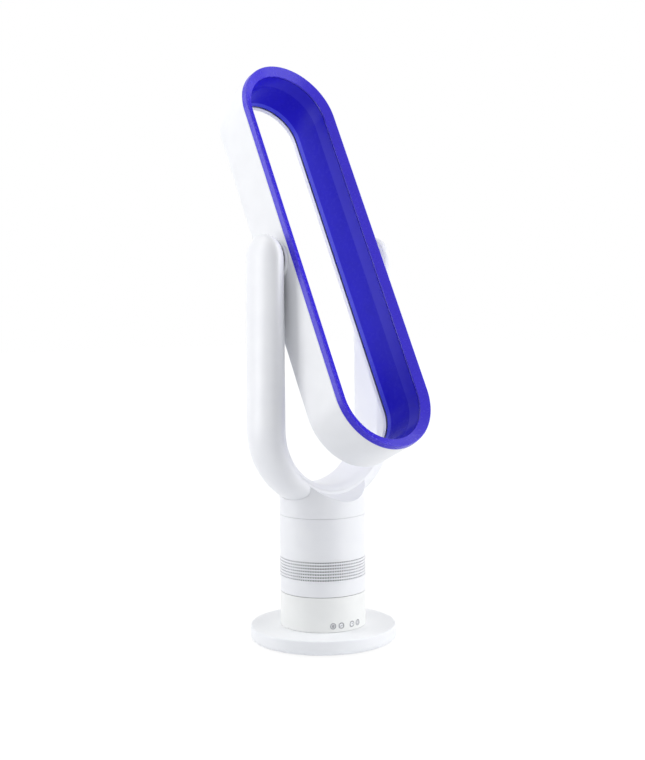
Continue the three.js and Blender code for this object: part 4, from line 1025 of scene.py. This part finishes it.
def sweep_yoke(half_section):
    """A half section and its mirror image, swept along the yoke and domed at both tips."""
    mesh = bmesh.new()
    chains = []
    for out, height, thickness in arm_stations():
        half = half_section(thickness)
        full = half + [(p, -q) for p, q in reversed(half[1:-1])]
        chains.append([Vector(((HALF_GAP + p) * out[0], pivot.y + q, height + p * out[1]))
                       for p, q in full])
    parts = [skin(chains, closed_path=False)]
    for side in (1, -1):
        domes = []
        for k in range(DOME_STEPS + 1):
            turn = math.pi * k / DOME_STEPS
            domes.append([Vector((side * (HALF_GAP + p), pivot.y + q * math.cos(turn),
                                  pivot.z + q * math.sin(turn)))
                          for p, q in half_section(TIP_THICKNESS)])
        parts.append(skin(domes, closed_path=False, closed_section=False))
    for part in parts:
        join(mesh, part)
    bmesh.ops.remove_doubles(mesh, verts=mesh.verts, dist=SEAM_WELD)
    bmesh.ops.recalc_face_normals(mesh, faces=mesh.faces)
    return mesh


def cover_section(thickness):
    """The inner cover's wall, which is the same whatever the arm's thickness."""
    return face_half(0) + face_half(WALL)[::-1]


def shell_section(thickness):
    """The outer shell's wall, where the arm has a thickness."""
    return crown_half(thickness, 0)[::-1] + crown_half(thickness, WALL)


def cross_rod(name, radius, ends, side, material):
    """A rod between two distances along the tilt axis, on one side of the fan."""
    start, end = sorted(side * reach for reach in ends)
    across = Matrix.Translation(pivot) @ Matrix.Rotation(math.pi / 2, 4, "Y")
    return piece_from(name, moved(rod(radius, start, end, (0, 0), ROD_FACETS), across), material)


yoke_cover = piece_from("yoke_inner_cover", sweep_yoke(cover_section), white_abs)
cut(yoke_cover, *[
    cross_rod("seal_hole", SEAL_HOLE, SEAL_HOLE_ENDS, side, white_abs) for side in (1, -1)
])
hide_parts("yoke_cover")
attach(yoke_cover, "head")

yoke_shell = piece_from("yoke_outer_shell", sweep_yoke(shell_section), white_abs)
cut(yoke_shell, piece_from("duct", rod(DUCT_RADIUS, *DUCT_ENDS, centre, ROD_FACETS), white_abs))
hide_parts("yoke_shell")
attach(yoke_shell, "head")


# ------------------------------------------------------------------ collar
# The cap of the column, that the bow of the yoke lies in. A round scoop falls away to the front
# and one to the back, so that a crescent of it shows beside the bow. Moulded in white ABS.

COLLAR_RIM = 25.7 * MM
SCOOP_RADIUS = 105 * MM
SCOOP_SLOPE = math.radians(17)
COLLAR_BORE = 44 * MM
SKIRT_DEPTH = 6.5 * MM
SKIRT_ROUND = 0.4 * MM
SEAT = 0.3 * MM
COLLAR_FACETS = 240
SCOOP_FACETS = 360

low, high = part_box("collar")
seam_z = low[2] + SKIRT_DEPTH
scoop_front = seam_z + COLLAR_RIM
collar = piece_from("collar_moulding", lathe(rounded([
    (COLLAR_BORE, seam_z, 0), (inner - SEAT - WALL, seam_z, 0),
    (inner - SEAT - WALL, low[2], 0), (inner - SEAT, low[2], SKIRT_ROUND),
    (inner - SEAT, seam_z, 0),
    (column, seam_z, SEAM_ROUND), (column, bow_centre, 0), (0, bow_centre, 0),
    (0, scoop_front + MM, 0), (COLLAR_BORE, scoop_front + MM, 0),
]), centre, COLLAR_FACETS), white_abs)


def envelope_section(thickness):
    """The outside of the whole arm, grown by the gap that the collar keeps to it."""
    grow = 1 + SEAT / half_depth
    face = [(p - SEAT, q * grow) for p, q in face_half(0)]
    crown = [(p + (SEAT if p > ARM_CORNER else 0), q * grow) for p, q in crown_half(thickness, 0)]
    return face + crown


axis_z = scoop_front + column * math.tan(SCOOP_SLOPE) + SCOOP_RADIUS / math.cos(SCOOP_SLOPE)
tools = [piece_from("bow_bed", sweep_yoke(envelope_section), white_abs)]
for side in (1, -1):
    scoop = rod(SCOOP_RADIUS, -2 * column, 2 * column, (0, 0), SCOOP_FACETS)
    slope = Matrix.Rotation(side * (math.pi / 2 + SCOOP_SLOPE), 4, "X")
    scoop_axis = Matrix.Translation((0, AXIS_Y, axis_z)) @ slope
    tools.append(piece_from("scoop", moved(scoop, scoop_axis), white_abs))
cut(collar, *tools)
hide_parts("collar")
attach(collar, "head")


# ------------------------------------------------------------------ loop rim
# The violet front of the air loop: an outer band, a crisp front edge, and a bevel into the
# opening. Moulded in coloured ABS with a satin polish, deep where it is shaded and bright where
# a soft box meets it.

LOOP_WIDTH = 178 * MM
LOOP_LENGTH = 683 * MM
LOOP_DEPTH = 90.7 * MM
LOOP_AHEAD = 49.2 * MM
LOOP_LEAN = math.radians(26.5)
ARC_STEPS = 64
SIDE_STEPS = 28
BAND_DEPTH = 10.6 * MM
BAND_FLARE = 1.5 * MM
RIM_WALL = 2.7 * MM
BEVEL_WIDTH = 14.6 * MM
BEVEL_DEPTH = 8.4 * MM
FRONT_ROUND = 1.1 * MM
FRONT_WEB = RIM_WALL * 1.4
BEVEL_ROUND = 0.5 * MM
BAND_ROUND = 0.4 * MM
CROWN_START = 0.8  # a share of the upper arc's height

loop_radius = LOOP_WIDTH / 2
loop_straight = (LOOP_LENGTH - LOOP_WIDTH) / 2
lean = Matrix.Translation(pivot) @ Matrix.Rotation(-LOOP_LEAN, 4, "X")


def racetrack():
    """Places round the loop: (direction out from the arc's centre, height of that centre)."""
    places = []
    for side in (1, -1):
        for k in range(ARC_STEPS + 1):
            turn = math.pi * (k / ARC_STEPS + (side < 0))
            places.append(((math.cos(turn), math.sin(turn)), side * loop_straight))
        for k in range(1, SIDE_STEPS):
            height = side * loop_straight * (1 - 2 * k / SIDE_STEPS)
            places.append(((-side, 0), height))
    return places


def racetrack_place(share):
    """The place at a share of the way round the loop, counted from its right side upwards."""
    arc_way = math.pi * loop_radius
    way = share * 2 * (arc_way + 2 * loop_straight)
    side = 1 if way < arc_way + 2 * loop_straight else -1
    if side < 0:
        way -= arc_way + 2 * loop_straight
    turn = min(way / loop_radius, math.pi)
    drop = max(way - arc_way, 0)
    return (side * math.cos(turn), side * math.sin(turn)), side * (loop_straight - drop)


def sweep_loop(section, crown=None):
    """A section of (inset, depth) points swept round the loop, as it leans. It passes softly into
    the crown's points over the top."""
    chains = []
    for out, height in racetrack():
        share = max(0, out[1] - CROWN_START) / (1 - CROWN_START)
        share *= share * (3 - 2 * share)
        points = [Vector(a).lerp(Vector(b), share) for a, b in zip(section, crown or section)]
        chains.append([lean @ Vector(((loop_radius - inset) * out[0], depth - LOOP_AHEAD,
                                      height + (loop_radius - inset) * out[1]))
                       for inset, depth in points])
    return skin(chains, closed_path=True)


# Violet ABS with a satin polish is a clear blue violet, with soft and fairly weak reflections.
violet_abs = moulded_abs("abs_violet_satin", "3A2BD2", "3D2ED8", roughness=0.26, specular=0.32)
rim = piece_from("loop_front_rim", sweep_loop(rounded([
    (0, 0, FRONT_ROUND), (BEVEL_WIDTH, BEVEL_DEPTH, BEVEL_ROUND),
    (BEVEL_WIDTH, BEVEL_DEPTH + RIM_WALL, 0), (RIM_WALL, FRONT_WEB, 0),
    (RIM_WALL - BAND_FLARE, BAND_DEPTH, 0), (-BAND_FLARE, BAND_DEPTH, BAND_ROUND),
])), violet_abs)
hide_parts("loop_rim")
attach(rim, "air_loop")


# ------------------------------------------------------------------ loop throat
# The deep inner wall that the air flows over, in violet ABS: a satin collar back to a knee, a
# dull wall in a shallow curve behind it, painted a deeper violet as painted shade, and a strip along
# the round nose at the air slot, painted paler as painted light, with ribs that hold the slot open.

THROAT_WALL = 2.4 * MM
KNEE = (16.4 * MM, 34.6 * MM)
THROAT_END = (23.4 * MM, 82.6 * MM)
THROAT_SWELL = 2.2 * MM
RIB_COUNT = 10
RIB_WIDTH = 2.4 * MM
BACK_WALL = 1.6 * MM
RIM_GAP = 1.1 * MM
# The width of the strip at the slot that is painted paler, as painted light.
LIT_STRIP_WIDTH = 8 * MM
WALL_STEPS = 14
NOSE_STEPS = 10
THROAT_CREASE = 3  # degrees from which its edges stay crisp

throat_front = BEVEL_DEPTH + RIM_WALL + RIM_GAP
end_inset, end_depth = THROAT_END
knee_inset, knee_depth = KNEE


def throat_side(depth_in):
    """The wall's face from the knee to the nose, at a depth below its surface."""
    middle = ((knee_inset + end_inset) / 2 - THROAT_SWELL - depth_in, (knee_depth + end_depth) / 2)
    return [(knee_inset - depth_in, knee_depth)] + bow(
        (knee_inset - depth_in, knee_depth), middle, (end_inset - depth_in, end_depth),
        WALL_STEPS)


nose = [(end_inset - THROAT_WALL / 2 * (1 - math.cos(t)), end_depth + THROAT_WALL / 2 * math.sin(t))
        for t in (math.pi * k / NOSE_STEPS for k in range(1, NOSE_STEPS))]
throat_mesh = sweep_loop(
    [(BEVEL_WIDTH, throat_front)] + throat_side(0) + nose + throat_side(THROAT_WALL)[::-1]
    + [(BEVEL_WIDTH - THROAT_WALL, throat_front)])
rib_length = LOOP_DEPTH - BACK_WALL - SEAT - end_depth
for k in range(RIB_COUNT):
    out, height = racetrack_place((k + 0.5) / RIB_COUNT)
    turn = math.atan2(out[1], out[0])
    place = lean @ Matrix.Translation((0, 0, height)) @ Matrix.Rotation(-turn, 4, "Y")
    offset = Matrix.Translation((loop_radius - end_inset + THROAT_WALL / 2,
                                 end_depth + rib_length / 2 - LOOP_AHEAD, 0))
    join(throat_mesh, block((THROAT_WALL / 2, rib_length, RIB_WIDTH), place @ offset))
# The violet with weaker reflections, in three depths: the collar at the front, the deep wall
# painted darker as painted shade, and the strip at the slot painted paler as painted light.
collar_abs = moulded_abs("abs_violet_collar", "2B22CA", "2E25D0", roughness=0.3, specular=0.14)
shaded_wall_abs = moulded_abs("abs_violet_wall_painted_shade", "231AC6", "261CCC", roughness=0.26, specular=0.06)
lit_strip_abs = moulded_abs("abs_violet_strip_painted_light", "4548DC", "494CE2", roughness=0.26, specular=0.14)
throat = piece_from("loop_throat_wall", throat_mesh, collar_abs, sharp=THROAT_CREASE)
throat.data.materials.append(shaded_wall_abs)
throat.data.materials.append(lit_strip_abs)
# Faces behind the knee take the darker copy as painted shade, and faces near the slot the paler copy
# as painted light.
upright = lean.inverted()
for face in throat.data.polygons:
    depth = (upright @ face.center).y + LOOP_AHEAD
    face.material_index = (depth > knee_depth) + (depth > end_depth - LIT_STRIP_WIDTH)
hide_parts("loop_throat")
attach(throat, "air_loop")


# ------------------------------------------------------------------ loop casing
# The white outside of the air loop, moulded in ABS, with straight sides that turn in at the back
# to a thin lip behind the slot. The back edge is crisp, and softer and drawn in over the top.

CASING_DRAFT = 0.2 * MM
BACK_ROUND = 3 * MM
CROWN_DRAFT = 5.7 * MM
CROWN_ROUND = 12 * MM
BEND_DEPTH = 12 * MM
BACK_INSET = 9 * MM
CASING_EDGE = 0.4 * MM
LIP_EDGE = 26.9 * MM
LIP_TURN = 1.2 * MM
LIP_DEPTH = 6.3 * MM
LIP_TAPER = 1.5 * MM
LIP_WALL = 1 * MM
LIP_BEVEL = 0.2 * MM
LIP_STEP = 0.6 * MM
AIR_HOLE = 24.8 * MM
AIR_HOLE_ENDS = (75 * MM, 95 * MM)

casing_front = BAND_DEPTH + SEAT
bend = LOOP_DEPTH - BEND_DEPTH
lip_front = LOOP_DEPTH - LIP_DEPTH
lip_face = LIP_EDGE - LIP_TAPER


def casing_inset(depth, draft=CASING_DRAFT):
    """How far the casing's outside has drawn in at a depth behind the loop's front."""
    share = (depth - BAND_DEPTH) / (LOOP_DEPTH - BAND_DEPTH)
    return -BAND_FLARE + (draft + BAND_FLARE) * share


def casing_section(draft, back_round):
    """The casing's wall, from its front over its back to the lip and forward again inside."""
    return rounded([
        (casing_inset(casing_front, draft), casing_front, CASING_EDGE),
        (casing_inset(LOOP_DEPTH, draft), LOOP_DEPTH, back_round),
        (LIP_EDGE, LOOP_DEPTH, LIP_TURN),
        (lip_face, lip_front, CASING_EDGE),
        (lip_face - LIP_WALL, lip_front + LIP_BEVEL, FINE_ROUND),
        (lip_face - LIP_STEP, LOOP_DEPTH - BACK_WALL, 0),
        (casing_inset(bend, draft) + BACK_INSET, LOOP_DEPTH - BACK_WALL, 0),
        (casing_inset(bend, draft) + WALL, bend, 0),
        (casing_inset(casing_front, draft) + RIM_WALL, casing_front, 0),
    ], steps=8)


# The casing's white is painted a shade greyer than the column and the arms, as painted shade.
shaded_casing_abs = moulded_abs("abs_white_casing_painted_shade", "F2F3F5", "F6F7F9", roughness=0.3, specular=0.5)
casing = piece_from("loop_casing_moulding", sweep_loop(
    casing_section(CASING_DRAFT, BACK_ROUND), casing_section(CROWN_DRAFT, CROWN_ROUND)), shaded_casing_abs)
cut(casing, *[
    cross_rod("air_hole", AIR_HOLE, AIR_HOLE_ENDS, side, shaded_casing_abs) for side in (1, -1)
])
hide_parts("loop_casing")
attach(casing, "air_loop")


# ------------------------------------------------------------------ trunnions
# The round hollow bosses on the loop's sides, white ABS, through which the air enters it. They
# turn in acetal bushes inside the arms, with a soft seal and a steel snap ring on each.

BOSS_DISC = 34.5 * MM
BOSS_ROUND = 1.0 * MM
JOURNAL_RADIUS = 28 * MM
JOURNAL_BORE = 22 * MM
JOURNAL_LENGTH = 22 * MM
JOURNAL_EDGE = 0.6 * MM

side_block = [
    (casing_inset(BAND_DEPTH) - SEAT, BAND_DEPTH - SEAT),
    (casing_inset(LOOP_DEPTH) - SEAT, LOOP_DEPTH),
    (end_inset, LOOP_DEPTH), (end_inset, BAND_DEPTH - SEAT),
]
boss_face = HALF_GAP - SEAT
boss_start = loop_radius - CASING_DRAFT - MM
for side, name in ((1, "right"), (-1, "left")):
    profile = rounded([
        (JOURNAL_BORE, boss_start, 0), (BOSS_DISC, boss_start, 0),
        (BOSS_DISC, boss_face, BOSS_ROUND), (JOURNAL_RADIUS, boss_face, 0),
        (JOURNAL_RADIUS, boss_face + JOURNAL_LENGTH, JOURNAL_EDGE),
        (JOURNAL_BORE, boss_face + JOURNAL_LENGTH, 0),
    ])
    across = Matrix.Translation(pivot) @ Matrix.Rotation(side * math.pi / 2, 4, "Y")
    turned = moved(lathe(profile, (0, 0)), across)
    trunnion = piece_from(f"trunnion_{name}_moulding", turned, white_abs)
    cut(trunnion, piece_from("side_block", sweep_loop(side_block), white_abs))
    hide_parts(f"trunnion_{name}")
    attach(trunnion, "air_loop")
    paint(f"tilt_bush_{name}", acetal)
    paint(f"tilt_seal_{name}", rubber)
    paint(f"snap_ring_{name}", steel)
